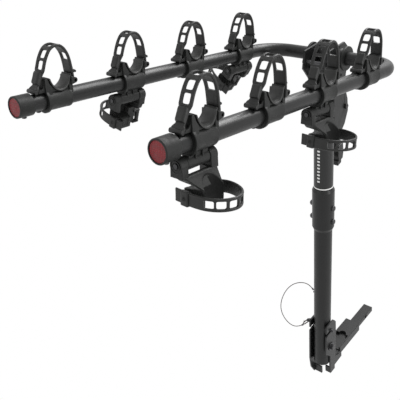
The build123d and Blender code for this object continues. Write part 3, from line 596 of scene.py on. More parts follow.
def make_ladder_strap(key, sizes):
    """Strap over a bicycle's top tube, hooked behind the saddle, with its pull tab and front nub."""
    seat = Seat(key)
    track = Track(STRAP_ROUTE, outside=1)
    strap = LadderStrap(track, sizes.width / 2 / MM, sizes.thickness / MM, seat.place)
    long_half, wide_half = sizes.window_length / 2 / MM, sizes.window_width / 2 / MM
    cell = long_half + 1.3
    total = track.length

    def half_at(length):
        """Full width down to the pull tab, narrower behind it and full again at the hook."""
        drop = 1 / (1 + np.exp(-(length - 140) / 2.0))
        back = 1 / (1 + np.exp(-(length - total + 9) / 1.2))
        return strap.half * (1 - 0.32 * drop + 0.32 * back)

    edges = [0.0]
    for middle in STRAP_WINDOWS:
        edges += [middle - cell, middle + cell]
    edges.append(total)
    for start, end in zip(edges[::2], edges[1::2]):
        if end - start > 0.05:
            strap.plain(start, end, half_at if end == total else None)
    for middle in STRAP_WINDOWS:
        strap.window(middle, long_half, wide_half, 3.0)
    shell = strap.shell
    strap.raised_pad(137.0, 162.0, 9.4, 7.0)
    pin = lambda a, b, x: seat.place(STRAP_PIN[0] + a, STRAP_PIN[1] + b, x)
    shell.add_tube(rod_rings(pin, 4.6, strap.half))
    hook = track.line[-1]
    shell.add_tube(rod_rings(lambda a, b, x: seat.place(hook[0] + a, hook[1] + b, x), 4.2, strap.half))
    nub = rounded_outline(((27, 50), (37, 48), (43.5, 44.5), (43, 41), (38, 41), (28, 42)), 2.0)
    s, v, x = slab_rings(nub, -6.0, 6.0, 1.4)
    shell.add_tube(seat.place(s, v, x))
    for x in (-8.5, 8.5):
        a, u, w = lathe_rings([(-0.5, 2.2), (1.0, 2.2), (1.7, 1.6), (1.9, 0.0)], 14)
        shell.add_tube(seat.place(31.2 - 0 * a - a, 52 + u, x + w))
    body = f"strap_{key}"
    return build_piece(f"ladder_strap_{key}", shell, [finish_named("strap_rubber")], body,
                       [body])


def make_sway_strap(key, sizes):
    """Strap round a bicycle's seat tube: windows outboard, ribbed tail and its keeper inboard."""
    seat = SwaySeat(key)
    side = seat.side

    def place(a, b, h):
        """Outboard, forward and height over the band's middle."""
        return seat.place(b, (BAND_LOW + BAND_HIGH) / 2 + h, side * np.asarray(a))

    track = Track(SWAY_ROUTE, outside=-1)
    half = (BAND_HIGH - BAND_LOW) / 2
    strap = LadderStrap(track, half, sizes.thickness / MM - 0.5, place)
    long_half = sizes.window_length / 2 / MM
    cell = long_half + 1.3
    total = track.length
    edges = [0.0]
    for middle in SWAY_WINDOWS:
        edges += [middle - cell, middle + cell]
    edges.append(total)
    for start, end in zip(edges[::2], edges[1::2]):
        if end - start > 0.05:
            strap.plain(start, end)
    for middle in SWAY_WINDOWS:
        strap.window(middle, long_half, 6.3, 2.6)
    for step in range(6):
        start = total - 3.2 - step * 3.1
        strap.raised_pad(start - 1.1, start + 1.1, half - 1.6, 1.3)
    shell = strap.shell
    shell.add_tube(rod_rings(lambda a, b, x: place(SWAY_PIN[0] + a, SWAY_PIN[1] + b, x), 4.6, half))
    keeper = rounded_outline(((-4.0, -36.5), (-3.0, -44.0), (12.0, -45.0), (13.5, -36.8)), 2.2)
    a, b, h = slab_rings(keeper, -half - 1.2, half + 1.2, 1.6)
    shell.add_tube(place(a, b, h))
    for radius, deep in ((4.0, 0.9), (2.2, 1.6)):
        ring = [(0.0, radius), (deep, radius - 0.3), (deep, radius - 1.3), (0.0, radius - 1.5)]
        u, p, q = lathe_rings(ring, 24)
        shell.add_grid(place(4.5 + p, -44.4 - u, q), wrap_rows=True, wrap_cols=True)
    body = f"sway_strap_{key}"
    return build_piece(f"anti_sway_strap_{key}", shell, [finish_named("strap_rubber")], body,
                       [body])


# ------------------------------------------------------------------ saddles
SLEEVE = ((22, 16.1), (22, 18.6), (21.6, 19.3), (20.6, 19.6), (18, 19.6), (17.2, 19.3), (-26.6, 19.3),
          (-27.6, 19.8), (-28, 21.6), (-28.5, 22.5), (-33.2, 22.5), (-34, 21.8), (-34, 16.1))
SADDLE_MIDDLE = (0.0, 43.0)
LINER_R = 21.6


def lathe_on(seat, profile, v=0.0, count=64):
    """Profile (s, radius) turned about a line along the arm at height v."""
    s, up, across = lathe_rings(profile, count)
    return seat.place(s, v + up, across)


def add_slab(shell, seat, outline, low, high, edge, taper=None, corner=2.0):
    """Side-view outline from x low to high with rounded sides; taper scales x by height."""
    s, v, x = slab_rings(rounded_outline(outline, corner), low, high, edge)
    if taper is not None:
        x = x * np.interp(v, taper[0], taper[1])
    shell.add_tube(seat.place(s, v, x))


def make_saddle_cradle(key, has_barrel):
    """Sleeve round the arm, rear wall and front horn, lug with two gussets, ears of the strap pin."""
    seat = Seat(key)
    shell = Shell()
    shell.add_grid(lathe_on(seat, SLEEVE), wrap_rows=True, wrap_cols=True)
    trough = arc_points(SADDLE_MIDDLE, 23.4, 212, 328, 15)
    web = np.vstack([[(-26, 12)], trough, [(24, 12)]])
    add_slab(shell, seat, web, -11.0, 11.0, 1.2, corner=0.6)
    rear = ((-34, 6), (-34, 26), (-32.2, 39.5), (-30.2, 42), (-26.4, 41.5), (-24.2, 33), (-18.5, 22),
            (-20, 12))
    add_slab(shell, seat, rear, -15.0, 15.0, 1.6, taper=((22, 42), (1.0, 0.74)), corner=2.2)
    front = ((26.8, 8), (27, 36), (26, 42.5), (21.6, 43), (21.8, 34), (17.5, 24), (19, 9))
    add_slab(shell, seat, front, -14.6, 14.6, 1.8, taper=((20, 43), (1.0, 0.86)), corner=2.4)
    lug = ((-51, 16.5), (-51.5, 20.5), (-48.5, 22.5), (-33, 23.5), (-31, 16.5))
    add_slab(shell, seat, lug, -9.5, 9.5, 1.4, corner=1.6)
    gusset = ((-32, 31), (-32, 17), (-47.5, 17), (-46, 21.5), (-38, 24))
    for low in (-11.2, 8.8):
        add_slab(shell, seat, gusset, low, low + 2.4, 0.7, corner=2.0)
    ear = np.vstack([[(21, 22.5)], arc_points(STRAP_PIN, 5.2, -90, 90, 13), [(22, 38)]])
    for low in (13.4, -17.0):
        add_slab(shell, seat, ear, low, low + 3.6, 0.9, corner=0.8)
    if has_barrel:
        barrel = [(-40, 4.1), (-40, 10.6), (-39.2, 11.4), (-30, 11.5), (9.2, 11.5), (10, 10.7), (10, 4.1)]
        shell.add_grid(lathe_on(seat, barrel, SWAY_AXIS_V), wrap_rows=True, wrap_cols=True)
        spine = ((-36, -30), (-34, -17.5), (9, -17.5), (9, -30))
        add_slab(shell, seat, spine, -7.5, 7.5, 1.5, corner=2.0)
        for s in (-22.0, -6.0):
            rib = ((s - 1.4, -28), (s - 1.4, -14), (s + 1.4, -14), (s + 1.4, -28))
            add_slab(shell, seat, rib, -10.6, 10.6, 0.6, corner=0.4)
    return build_piece(f"saddle_cradle_{key}", shell, [finish_named("moulded_nylon")], "arms",
                       [f"cradle_{key}"])


def make_saddle_liner(key):
    """Soft trough between the horns: half a pipe whose sides turn down over the sleeve.

    Along the trough u runs from the rear wall's top to the horn's top, across it w runs from side
    to side; the middle surface is a circle, lowered at its sides near the bottom.
    """
    seat = Seat(key)
    thick = 2.4
    u = np.sin(np.linspace(-1, 1, 45) * np.pi / 2)
    w = np.sin(np.linspace(-1, 1, 29) * np.pi / 2)
    u, w = np.meshgrid(u, w, indexing="ij")
    angle = np.radians(270 + u * 84)
    bottom = np.clip(np.cos(angle - np.radians(270)), 0, 1) ** 1.5
    half = 13.2 + 2.8 * bottom
    half = half * (1 - 0.10 * np.abs(u) ** 14)
    centre_s = LINER_R * np.cos(angle)
    centre_v = SADDLE_MIDDLE[1] + LINER_R * np.sin(angle) - 5.2 * bottom * np.abs(w) ** 2.4
    flare = 1.0 * (1 - bottom) * np.abs(w) ** 4
    along_in, up_in = -np.cos(angle), -np.sin(angle)
    end = np.clip((1 - np.abs(u)) * 30 / 1.2, 0, 1)
    side = np.clip((1 - np.abs(w)) * half / 1.2, 0, 1)
    round_off = np.sqrt(1 - (1 - end) ** 2) * np.sqrt(1 - (1 - side) ** 2)
    bead = 0.5 * np.exp(-((1 - np.abs(w)) * half - 1.4) ** 2 / 0.9)
    shell = Shell()
    for offset in (1, -1):
        lift = offset * (thick / 2 + (bead if offset > 0 else 0)) * round_off - flare
        shell.add_grid(seat.place(centre_s + along_in * lift, centre_v + up_in * lift, w * half))
    side_name = key.split("_")[0]
    return build_piece(f"saddle_liner_{key}", shell, [finish_named("soft_liner")], "arms",
                       [f"saddle_pads_{side_name}"], crease=60)


# ------------------------------------------------------------------ anti-sway cradles
KNUCKLE_REAR = ((-40.6, 4.15), (-40.6, 12.0), (-41.2, 12.5), (-54.6, 12.5), (-55.8, 11.7), (-56, 10.4),
                (-54.6, 9.9), (-54.4, 8.3), (-55.8, 7.9), (-56, 6.4), (-55.2, 5.9), (-54.8, 4.15))
KNUCKLE_FRONT = ((10.6, 4.15), (10.6, 12.0), (11.2, 12.5), (26.6, 12.5), (28, 11.4), (28, 4.15))
BODY_TOP, BODY_LOW = -48.6, -100.0
GROOVE = (37.5, -4.5, 22.5)       # outboard, forward, radius
GROOVE_SHADE_BELOW = 0.3                 # share of the face in the blend, under which a place is groove and gets painted shade


def ease(value, width):
    """Smooth step from 0 to 1 as the value passes 0, this many millimetres wide."""
    t = np.clip(value / width + 0.5, 0, 1)
    return t * t * (3 - 2 * t)


def sway_body_rings():
    """Level outlines of the block under the hinge, from its top to its foot.

    The outboard face leans out and then drops, the seat-tube groove is an upright cylinder cut into
    it, so their meeting is a pointed arch; both faces are functions of forward place and height.
    The last result is 1 for each face of the grid that lies in the groove, where shade is painted, and 0
    elsewhere.
    """
    v = BODY_TOP + (BODY_LOW - BODY_TOP) * np.linspace(0, 1, 41)
    rear = np.interp(-v, (48, 72, 100), (-54, -29, -29))
    front = np.interp(-v, (48, 70, 100), (27, 20, 20))
    edge = np.minimum((BODY_TOP - v) / 2.4, (v - BODY_LOW) / 2.4)
    inset = 2.4 * (1 - np.sqrt(1 - (1 - np.clip(edge, 0, 1)) ** 2))
    along = np.concatenate([[0.0], (1 - np.cos(np.linspace(0, np.pi, 70))) / 2 * 0.9 + 0.05, [1.0]])
    s = (rear + inset)[:, None] + (front - rear - 2 * inset)[:, None] * along
    level = v[:, None]
    face = np.interp(-level, (48, 52, 74, 100), (12.5, 14.5, 33, 33)) - inset[:, None]
    groove = GROOVE[0] - np.sqrt(np.maximum(GROOVE[2] ** 2 - (s - GROOVE[1]) ** 2, 0.0))
    soft = 1.6
    mix = np.clip(0.5 + 0.5 * (groove - face) / soft, 0, 1)
    outer = groove * (1 - mix) + face * mix - soft * mix * (1 - mix)
    ends = np.minimum(s - s[:, :1], s[:, -1:] - s)
    outer = outer - 3.0 * (1 - np.sqrt(1 - (1 - np.clip(ends / 3.0, 0, 1)) ** 2))
    inner = np.interp(-level, (48, 100), (-12, -9.2)) + inset[:, None] + 0 * s
    plate = ease(s + 38.5, 4.0) * ease(8.5 - s, 4.0) * ease(level + 74.0, 9.0)
    inner = inner + (face - 4.2 - inner) * plate
    notch = ease(s + 2.5, 2.5) * ease(-61.0 - level, 3.0)
    inner = inner + (4.0 - inner) * notch
    inner = inner + 1.6 * ease(4.5 - np.abs(s + 16), 1.5) * ease(9.0 - np.abs(level + 84), 2.0)
    inner = inner + 3.0 * (1 - np.sqrt(1 - (1 - np.clip(ends / 3.0, 0, 1)) ** 2))
    a = np.concatenate([outer, inner[:, ::-1]], 1)
    b = np.concatenate([s, s[:, ::-1]], 1)
    # faces in the groove take the second finish, which is painted shade
    shaded_groove_faces = np.concatenate([mix < GROOVE_SHADE_BELOW, np.zeros_like(mix, bool)], 1)
    return a, b, np.broadcast_to(level, a.shape), (shaded_groove_faces[1:] & shaded_groove_faces[:-1]).astype(int)


def make_sway_cradle(key):
    """Swinging cradle under the arm: two knuckles, their cheeks, the grooved block and the strap's ears."""
    seat = SwaySeat(key)
    side = seat.side
    shell = Shell()
    for profile in (KNUCKLE_REAR, KNUCKLE_FRONT):
        shell.add_grid(lathe_on(seat, profile, SWAY_AXIS_V), wrap_rows=True, wrap_cols=True)
    cheek = rounded_outline(((-11.8, -34), (-12, -52), (13.6, -52), (12.3, -34)), 1.0)
    for low, high in ((-55.4, -41.0), (11.0, 27.4)):
        a, v, s = slab_rings(cheek, low, high, 1.2)
        shell.add_tube(seat.place(s, v, side * a))
    a, b, v, shaded_groove_faces = sway_body_rings()
    rings = seat.place(b, v, side * a)
    # groove faces get the painted shade finish
    shell.add_grid(rings, wrap_cols=True, finish=shaded_groove_faces.ravel())
    for cap in (rings[0][::-1], rings[-1]):
        shell.add(cap, np.arange(len(cap))[None])
    ear = np.vstack([[(1.8, 14)], arc_points(SWAY_PIN, 5.2, 180, 0, 13), [(12.2, 14)]])
    for low in (BAND_LOW - 3.8, BAND_HIGH + 0.4):
        a, b, v = slab_rings(rounded_outline(ear, 0.6), low, low + 3.4, 0.8)
        shell.add_tube(seat.place(b, v, side * a))
    # second finish: painted shade on the groove's faces
    finishes = [finish_named("moulded_nylon"), finish_named("groove_painted_shade")]
    return build_piece(f"anti_sway_cradle_{key}", shell, finishes, f"sway_cradle_{key}",
                       [f"sway_cradle_{key}"])


# ------------------------------------------------------------------ reflectors
def make_reflector(name):
    """Domed red disc: small square prisms over the face inside a smooth raised border."""
    node = f"reflector_{name}"
    low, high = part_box(node)
    middle = np.array((low + high) / 2, float)
    radius = (high.x - low.x) / 2 / MM
    r = np.concatenate([np.linspace(0, radius - 2.4, 26), radius - np.array((2.0, 1.6, 1.0, 0.5, 0.2))])
    turn = np.linspace(0, 2 * np.pi, 120, endpoint=False)
    r, turn = np.meshgrid(r, turn, indexing="ij")
    a, b = r * np.cos(turn), r * np.sin(turn)
    cell = 2.6
    peak = np.maximum(np.abs(a / cell - np.round(a / cell)), np.abs(b / cell - np.round(b / cell)))
    face = r < radius - 2.3
    dome = 0.9 * (1 - (r / radius) ** 2)
    height = dome + np.where(face, 0.55 * peak, 0.5 - 0.6 * ((r - radius + 1.2) / 1.2) ** 2)
    shell = Shell()
    back = -0.6

    def place(a, b, h):
        steps = ACROSS * a[..., None] + UP * b[..., None] + BACK * h[..., None]
        return middle + steps * MM

    shell.add_grid(place(a, b, height), wrap_cols=True)
    skirt = np.stack([height[-1], np.full_like(height[-1], back)])
    shell.add_grid(place(np.stack([a[-1]] * 2), np.stack([b[-1]] * 2), skirt), wrap_cols=True)
    shell.add(place(a[-1], b[-1], skirt[1]), np.arange(a.shape[1])[None])
    return build_piece(f"round_reflector_{name}", shell, [finish_named("red_reflector")], "arms",
                       [node], crease=25)


# ------------------------------------------------------------------ mast wrap
def mast_lean():
    """Direction of the mast's axis, from the middles of its two tubes."""
    lower, upper = (sum(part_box(node), Vector()) / 2 for node in ("mast_lower_tube", "mast_upper_tube"))
    return np.array((upper - lower).normalized(), float)


def make_mast_wrap():
    """Thin film round the mast, with a rolled foot; its UV map runs round and up it."""
    lean = mast_lean()
    forward = np.cross(lean, ACROSS)
    low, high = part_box("mast_label")
    radius = (high.x - low.x) / 2 / MM
    tilt = math.asin(lean[1])
    tall = ((high.z - low.z) / MM - 2 * radius * math.sin(tilt)) / math.cos(tilt)
    middle = np.array((low + high) / 2, float)
    up = np.concatenate([[-0.5, -0.5, -0.497, -0.484, -0.478], np.linspace(-0.47, 0.499, 24), [0.5, 0.5]])
    out = np.concatenate([[-0.45, 0.0, 0.35, 0.35, 0.0], np.full(24, 0.0), [-0.05, -0.45]])
    turn = np.linspace(0, 2 * np.pi, 73)
    grid_up, grid_turn = np.meshgrid(up, turn, indexing="ij")
    r = radius + out[:, None] + 0 * grid_turn
    points = (middle + (lean * (grid_up * tall)[..., None] + ACROSS * (r * np.cos(grid_turn))[..., None]
                        + forward * (r * np.sin(grid_turn))[..., None]) * MM)
    shell = Shell()
    shell.add_grid(points)
    uv = np.stack([grid_turn / (2 * np.pi), grid_up + 0.5], -1).reshape(-1, 2)
    return build_piece("mast_wrap", shell, [finish_named("printed_wrap")], "mast",
                       ["mast_label"], uv=uv)


# ------------------------------------------------------------------ tether
TETHER_DIAMETER = 0.0024
STRAND_LAY = 0.009                # length of one turn of the strands
STRANDS, STRAND_DEPTH = 6, 0.07
EYE_WIRE_R = 0.0008
CRIMPED_SLEEVE = ((0.0, 1.3), (0.3, 2.2), (1.2, 2.6), (3.0, 2.2), (4.2, 2.6), (5.6, 2.3), (6.2, 2.5),
                  (7.0, 1.4))     # along the cord, radius
TETHER_ROUTE = (
    (-0.0335, -0.2480, 0.2890),
    (-0.0420, -0.2495, 0.3000),
    (-0.0580, -0.2525, 0.3055),
    (-0.0780, -0.2590, 0.3020),
    (-0.0960, -0.2660, 0.2900),
    (-0.1120, -0.2720, 0.2690),
    (-0.1250, -0.2765, 0.2400),
    (-0.1340, -0.2790, 0.2070),
    (-0.1355, -0.2790, 0.1760),
    (-0.1290, -0.2770, 0.1500),
    (-0.1180, -0.2725, 0.1280),
    (-0.1030, -0.2670, 0.1145),
    (-0.0860, -0.2610, 0.1150),
    (-0.0725, -0.2560, 0.1250),
)


def nurbs_line(name, route):
    """Points along the smooth NURBS line of a cord's route."""
    curve = bpy.data.curves.new(name, "CURVE")
    curve.dimensions = "3D"
    curve.resolution_u = 12
    spline = curve.splines.new("NURBS")
    spline.points.add(len(route) - 1)
    for point, place in zip(spline.points, route):
        point.co = (*place, 1.0)
    spline.order_u = 3
    spline.use_endpoint_u = True
    holder = bpy.data.objects.new(name, curve)
    bpy.context.scene.collection.objects.link(holder)
    bpy.context.view_layer.update()
    line = bpy.data.meshes.new_from_object(holder.evaluated_get(bpy.context.evaluated_depsgraph_get()))
    points = np.empty(len(line.vertices) * 3)
    line.vertices.foreach_get("co", points)
    bpy.data.objects.remove(holder)
    bpy.data.meshes.remove(line)
    return points.reshape(-1, 3)


def evenly(line, step):
    """The same line at even steps, with its end points kept."""
    at = np.concatenate([[0], np.cumsum(np.linalg.norm(np.diff(line, axis=0), axis=1))])
    where = np.linspace(0, at[-1], int(at[-1] / step) + 1)
    return np.stack([np.interp(where, at, line[:, k]) for k in range(3)], -1), where


def tube_rings(line, radii):
    """Circles square to a 3-D line; their first direction is carried along it without twist."""
    tangent = np.gradient(line, axis=0)
    tangent /= np.linalg.norm(tangent, axis=1, keepdims=True)
    side = np.cross(tangent, (0.0, -0.35, 1.0))
    side /= np.maximum(np.linalg.norm(side, axis=1, keepdims=True), 1e-9)
    flips = np.cumprod(np.concatenate([[1.0], np.sign(np.sum(side[1:] * side[:-1], axis=1))]))
    side *= flips[:, None]
    top = np.cross(tangent, side)
    turn = np.linspace(0, 2 * np.pi, radii.shape[1], endpoint=False)
    ring = side[:, None] * np.cos(turn)[None, :, None] + top[:, None] * np.sin(turn)[None, :, None]
    return line[:, None] + ring * radii[..., None]


def make_tether():
    """Wire tether of the tilt pin, its two crimped sleeves and the eye round the pin's ring."""
    line, at = evenly(nurbs_line("tether_line", TETHER_ROUTE), 0.0012)
    turn = np.linspace(0, 2 * np.pi, 18, endpoint=False)
    twist = turn[None] - at[:, None] / STRAND_LAY * 2 * np.pi
    strands = 1 - STRAND_DEPTH * (1 - np.cos(STRANDS * twist)) / 2
    shell = Shell()
    shell.add_tube(tube_rings(line, TETHER_DIAMETER / 2 * strands))
    cable = build_piece("tether_wire", shell, [finish_named("twisted_wire")], "mast",
                        ["tether_cable"], ride=False)
    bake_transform(cable)
    sleeve = np.array(CRIMPED_SLEEVE)
    for name, body, near, inner in (("tether_sleeve_upper", "mast", 0, 1),
                                    ("tether_sleeve_lower", "tilt_pin", -1, -2)):
        end, before = np.array(TETHER_ROUTE[near]), np.array(TETHER_ROUTE[inner])
        out = (end - before) / np.linalg.norm(end - before)
        centres = end + out * (sleeve[:, :1] - 3.0) * MM
        shell = Shell()
        shell.add_tube(tube_rings(centres, np.repeat(sleeve[:, 1:] * MM, 20, axis=1)))
        build_piece(name, shell, [finish_named("black_zinc")], body, ["tether_ferrules"])
    low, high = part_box("pin_ring")
    hook = np.array((low.x + 0.0015, (low.y + high.y) / 2, low.z + 0.0045))
    tip = np.array(TETHER_ROUTE[-1]) + out * 0.0038
    bow = np.cross(out, (0.0, 0.0, 1.0))
    bow /= np.linalg.norm(bow)
    reach = hook - tip
    loop = smooth_line([tip, tip + reach * 0.35 + bow * 0.0026, hook + reach * 0.30 + bow * 0.0030,
                        hook + reach * 0.42, hook + reach * 0.30 - bow * 0.0030,
                        tip + reach * 0.35 - bow * 0.0026, tip], 8)
    shell = Shell()
    shell.add_tube(tube_rings(loop, np.full((len(loop), 12), EYE_WIRE_R)))
    build_piece("tether_eye", shell, [finish_named("twisted_wire")], "tilt_pin")


# ------------------------------------------------------------------ finishes of the CAD nodes
NODE_FINISH = {
    "black_powder_coat": "black_powder_coat", "black_zinc": "black_zinc", "steel_wire": "twisted_wire",
    "moulded_plastic": "moulded_nylon", "strap_rubber": "strap_rubber", "soft_liner": "soft_liner",
    "red_reflector": "red_reflector", "printed_wrap": "printed_wrap"}
SOFT_EDGES = {"hitch_bar": 1.0, "hitch_adapter": 1.0, "base_plate_right": 0.9, "base_plate_left": 0.9,
              "head_plate_right": 0.9, "head_plate_left": 0.9, "release_lever": 1.4, "head_bushings": 0.9,
              "end_cap_right": 0.5, "end_cap_left": 0.5, "tilt_pin": 0.5, "pivot_bolt": 0.6, "pivot_nut": 0.6,
              "head_bolts": 0.6, "pivot_washers": 0.4, "latch_sector": 0.6}


def soften_edges(node, width):
    """Merges a CAD node's loose triangles and rounds its sharp edges a little, as modifiers."""
    weld = node.modifiers.new("weld", "WELD")
    weld.merge_threshold = 0.01 * MM
    bevel = node.modifiers.new("soft_edges", "BEVEL")
    bevel.width = width * MM
    bevel.segments = 3
    bevel.limit_method = "ANGLE"
    bevel.angle_limit = math.radians(40)
    bevel.harden_normals = True


def finish_cad_nodes():
    """Gives every CAD node that shows its finish, and the pressed and moulded ones soft edges."""
    for part in frame["record"]["subparts"]:
        node = frame["nodes"][part["node"]]
        finish = finish_named(NODE_FINISH[part["material_slot"]])
        node.data.materials.clear()
        node.data.materials.append(finish)
        if part["node"] in SOFT_EDGES or part["node"].startswith("sway_cradle_"):
            soften_edges(node, SOFT_EDGES.get(part["node"], 1.5))


# ------------------------------------------------------------------ studio
CAMERA_PLACE = (0.7541, -1.4501, 1.5500)
CAMERA_RIGHT = (0.7542, 0.6440, -0.1275)
CAMERA_UP = (-0.2673, 0.4786, 0.8363)
CAMERA_BACK = (0.5997, -0.5967, 0.5332)


def add_area_light(name, place, aim, size, power, colour=(1.0, 1.0, 1.0)):
    light = bpy.data.lights.new(name, "AREA")
    light.shape = "RECTANGLE"
    light.size, light.size_y = size
    light.energy = power
    light.color = colour
    holder = bpy.data.objects.new(name, light)
    holder.location = place
    holder.rotation_euler = (Vector(aim) - Vector(place)).to_track_quat("-Z", "Y").to_euler()
    bpy.context.scene.collection.objects.link(holder)
    return holder


def make_camera(lens):
    data = bpy.data.cameras.new("camera")
    data.lens = lens
    data.sensor_width = 36.0
    data.clip_end = 50.0
    camera = bpy.data.objects.new("camera", data)
    turn = Matrix((CAMERA_RIGHT, CAMERA_UP, CAMERA_BACK)).transposed()
    camera.matrix_world = Matrix.Translation(CAMERA_PLACE) @ turn.to_4x4()
    bpy.context.scene.collection.objects.link(camera)
    bpy.context.scene.camera = camera


# ------------------------------------------------------------------ properties
class RackStrapSizes(bpy.types.PropertyGroup):
    """Sizes of the ladder straps."""
    width: FloatProperty(name="Width", description="Width of the top-tube straps", default=0.026,
                         min=0.01, unit="LENGTH")
    thickness: FloatProperty(name="Thickness", description="Thickness of the straps", default=0.0045,
                             min=0.001, unit="LENGTH")
    window_length: FloatProperty(name="Window length", description="Length of a window along the strap",
                                 default=0.0155, min=0.002, unit="LENGTH")
    window_width: FloatProperty(name="Window width", description="Width of a window across the strap",
                                default=0.0152, min=0.002, unit="LENGTH")


class RackColours(bpy.types.PropertyGroup):
    """Base colours of the finishes."""
    coat: FloatVectorProperty(name="Powder coat", description="Colour of the painted steel",
                              default=(0.0075, 0.0078, 0.0078), size=3, subtype="COLOR", min=0, max=1)
    nylon: FloatVectorProperty(name="Nylon", description="Colour of the moulded cradles",
                               default=(0.0085, 0.009, 0.0085), size=3, subtype="COLOR", min=0, max=1)
    rubber: FloatVectorProperty(name="Strap rubber", description="Colour of the straps",
                                default=(0.012, 0.0122, 0.0118), size=3, subtype="COLOR", min=0, max=1)
    liner: FloatVectorProperty(name="Liner", description="Colour of the saddle liners",
                               default=(0.022, 0.0222, 0.0215), size=3, subtype="COLOR", min=0, max=1)
    zinc: FloatVectorProperty(name="Black zinc", description="Colour of the fasteners",
                              default=(0.055, 0.055, 0.057), size=3, subtype="COLOR", min=0, max=1)
    wire: FloatVectorProperty(name="Wire", description="Colour of the tether's steel wire",
                              default=(0.045, 0.032, 0.028), size=3, subtype="COLOR", min=0, max=1)
    reflector: FloatVectorProperty(name="Reflector", description="Colour of the reflectors",
                                   default=(0.12, 0.004, 0.007), size=3, subtype="COLOR", min=0, max=1)
    ink: FloatVectorProperty(name="Wrap print", description="Colour of the bars on the mast's wrap",
                             default=(0.62, 0.62, 0.61), size=3, subtype="COLOR", min=0, max=1)


class RackStudio(bpy.types.PropertyGroup):
    """Camera and light of the studio."""
    lens: FloatProperty(name="Lens", description="Focal length in millimetres on a 36 mm sensor",
                        default=55.4, min=10)
    overhead: FloatProperty(name="Overhead light", description="Power of the soft box above the rack",
                            default=85.0, min=0, unit="POWER")
    rear: FloatProperty(name="Rear light", description="Power of the soft box behind the camera",
                        default=7.0, min=0, unit="POWER")
    side: FloatProperty(name="Side light", description="Power of the strip at the rack's right",
                        default=30.0, min=0, unit="POWER")
    sky: FloatProperty(name="Surround", description="Strength of the even white surround", default=1.0, min=0)


# ------------------------------------------------------------------ operators
class RACK_OT_stage(bpy.types.Operator):
    """Lights, even white surround and camera"""
    bl_idname = "rack.stage"
    bl_label = "Studio"

    def execute(self, context):
        studio = context.scene.rack_studio
        make_camera(studio.lens)
        middle = (CAD_BOX[0] + CAD_BOX[1]) / 2
        add_area_light("overhead", (0.15, 1.25, 2.6), middle, (1.7, 1.4), studio.overhead)
        add_area_light("rear", (-1.2, -3.0, 1.8), middle, (2.0, 1.6), studio.rear)
        add_area_light("side", (2.6, -0.2, 1.2), middle, (0.7, 2.4), studio.side)
        world = bpy.data.worlds.new("surround")
        world.use_nodes = True
        backdrop = world.node_tree.nodes["Background"]
        backdrop.inputs["Color"].default_value = (1.0, 1.0, 1.0, 1.0)
        backdrop.inputs["Strength"].default_value = studio.sky
        context.scene.world = world
        context.scene.view_settings.view_transform = "Standard"
        return {"FINISHED"}


class RACK_OT_finishes(bpy.types.Operator):
    """All finishes, and those of the CAD nodes that show"""
    bl_idname = "rack.finishes"
    bl_label = "Finishes"

    def execute(self, context):
        colours = context.scene.rack_colours
        FINISHES["black_powder_coat"] = powder_coat(colours.coat)
        FINISHES["moulded_nylon"] = moulded_nylon(colours.nylon)
        FINISHES["strap_rubber"] = strap_rubber(colours.rubber)
        FINISHES["soft_liner"] = soft_liner(colours.liner)
        # painted shade for the inside of the anti-sway groove, made from the nylon's colour
        FINISHES["groove_painted_shade"] = groove_painted_shade(colours.nylon)
        FINISHES["black_zinc"] = black_zinc(colours.zinc)
        FINISHES["red_reflector"] = red_reflector(colours.reflector)
        FINISHES["twisted_wire"] = twisted_wire(colours.wire)
        FINISHES["printed_wrap"] = printed_wrap(colours.coat, colours.ink)
        finish_cad_nodes()
        return {"FINISHED"}


class RACK_OT_saddles(bpy.types.Operator):
    """Saddle cradles on both arms, with their soft liners"""
    bl_idname = "rack.saddles"
    bl_label = "Saddles"

    def execute(self, context):
        for side in SIDES:
            for number in SADDLES:
                key = f"{side}_{number}"
                make_saddle_cradle(key, key in SWAYS)
                make_saddle_liner(key)
        return {"FINISHED"}


class RACK_OT_straps(bpy.types.Operator):
    """Ladder straps of the saddles and of the anti-sway cradles"""
    bl_idname = "rack.straps"
    bl_label = "Ladder straps"

    def execute(self, context):
        sizes = context.scene.rack_straps
        for side in SIDES:
            for number in SADDLES:
                make_ladder_strap(f"{side}_{number}", sizes)
        for key in SWAYS:
            make_sway_strap(key, sizes)
        return {"FINISHED"}


class RACK_OT_anti_sway(bpy.types.Operator):
    """Swinging anti-sway cradles under the arms"""
    bl_idname = "rack.anti_sway"
    bl_label = "Anti-sway cradles"

    def execute(self, context):
        for key in SWAYS:
            make_sway_cradle(key)
        return {"FINISHED"}


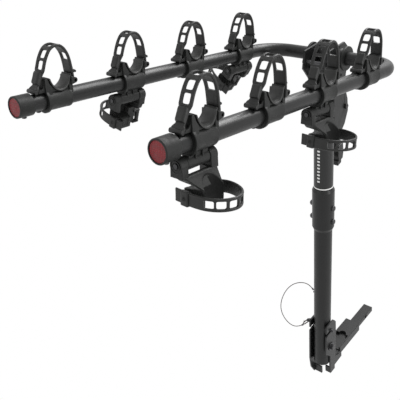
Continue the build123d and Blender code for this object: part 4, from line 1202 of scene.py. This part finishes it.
class RACK_OT_reflectors(bpy.types.Operator):
    """Round reflectors in the arms' end caps"""
    bl_idname = "rack.reflectors"
    bl_label = "Reflectors"

    def execute(self, context):
        for side in SIDES:
            make_reflector(side)
        return {"FINISHED"}


class RACK_OT_mast(bpy.types.Operator):
    """Wrap round the mast"""
    bl_idname = "rack.mast"
    bl_label = "Mast wrap"

    def execute(self, context):
        make_mast_wrap()
        return {"FINISHED"}


class RACK_OT_tether(bpy.types.Operator):
    """Wire tether of the tilt pin"""
    bl_idname = "rack.tether"
    bl_label = "Tether"

    def execute(self, context):
        make_tether()
        return {"FINISHED"}


class RACK_PT_panel(bpy.types.Panel):
    """Buttons in the order that they are run"""
    bl_idname = "RACK_PT_panel"
    bl_label = "Hanging Bike Rack"
    bl_space_type = "VIEW_3D"
    bl_region_type = "UI"
    bl_category = "Rack"

    def draw(self, context):
        for group in (context.scene.rack_straps, context.scene.rack_colours, context.scene.rack_studio):
            box = self.layout.box()
            for name in group.bl_rna.properties.keys():
                if name not in ("rna_type", "name"):
                    box.prop(group, name)
        for operator in OPERATORS:
            self.layout.operator(operator.bl_idname)


GROUPS = {"rack_straps": RackStrapSizes, "rack_colours": RackColours, "rack_studio": RackStudio}
OPERATORS = (RACK_OT_stage, RACK_OT_finishes, RACK_OT_saddles, RACK_OT_straps, RACK_OT_anti_sway,
             RACK_OT_reflectors, RACK_OT_mast, RACK_OT_tether)


def register():
    for name, group in GROUPS.items():
        bpy.utils.register_class(group)
        setattr(bpy.types.Scene, name, PointerProperty(type=group))
    for operator in OPERATORS:
        bpy.utils.register_class(operator)
    bpy.utils.register_class(RACK_PT_panel)


def unregister():
    bpy.utils.unregister_class(RACK_PT_panel)
    for operator in reversed(OPERATORS):
        bpy.utils.unregister_class(operator)
    for name, group in GROUPS.items():
        delattr(bpy.types.Scene, name)
        bpy.utils.unregister_class(group)


def main():
    """Builds the rack."""
    register()
    bpy.ops.rack.stage()
    bpy.ops.rack.finishes()
    bpy.ops.rack.saddles()
    bpy.ops.rack.straps()
    bpy.ops.rack.anti_sway()
    bpy.ops.rack.reflectors()
    bpy.ops.rack.mast()
    bpy.ops.rack.tether()


if __name__ == "__main__":
    main()
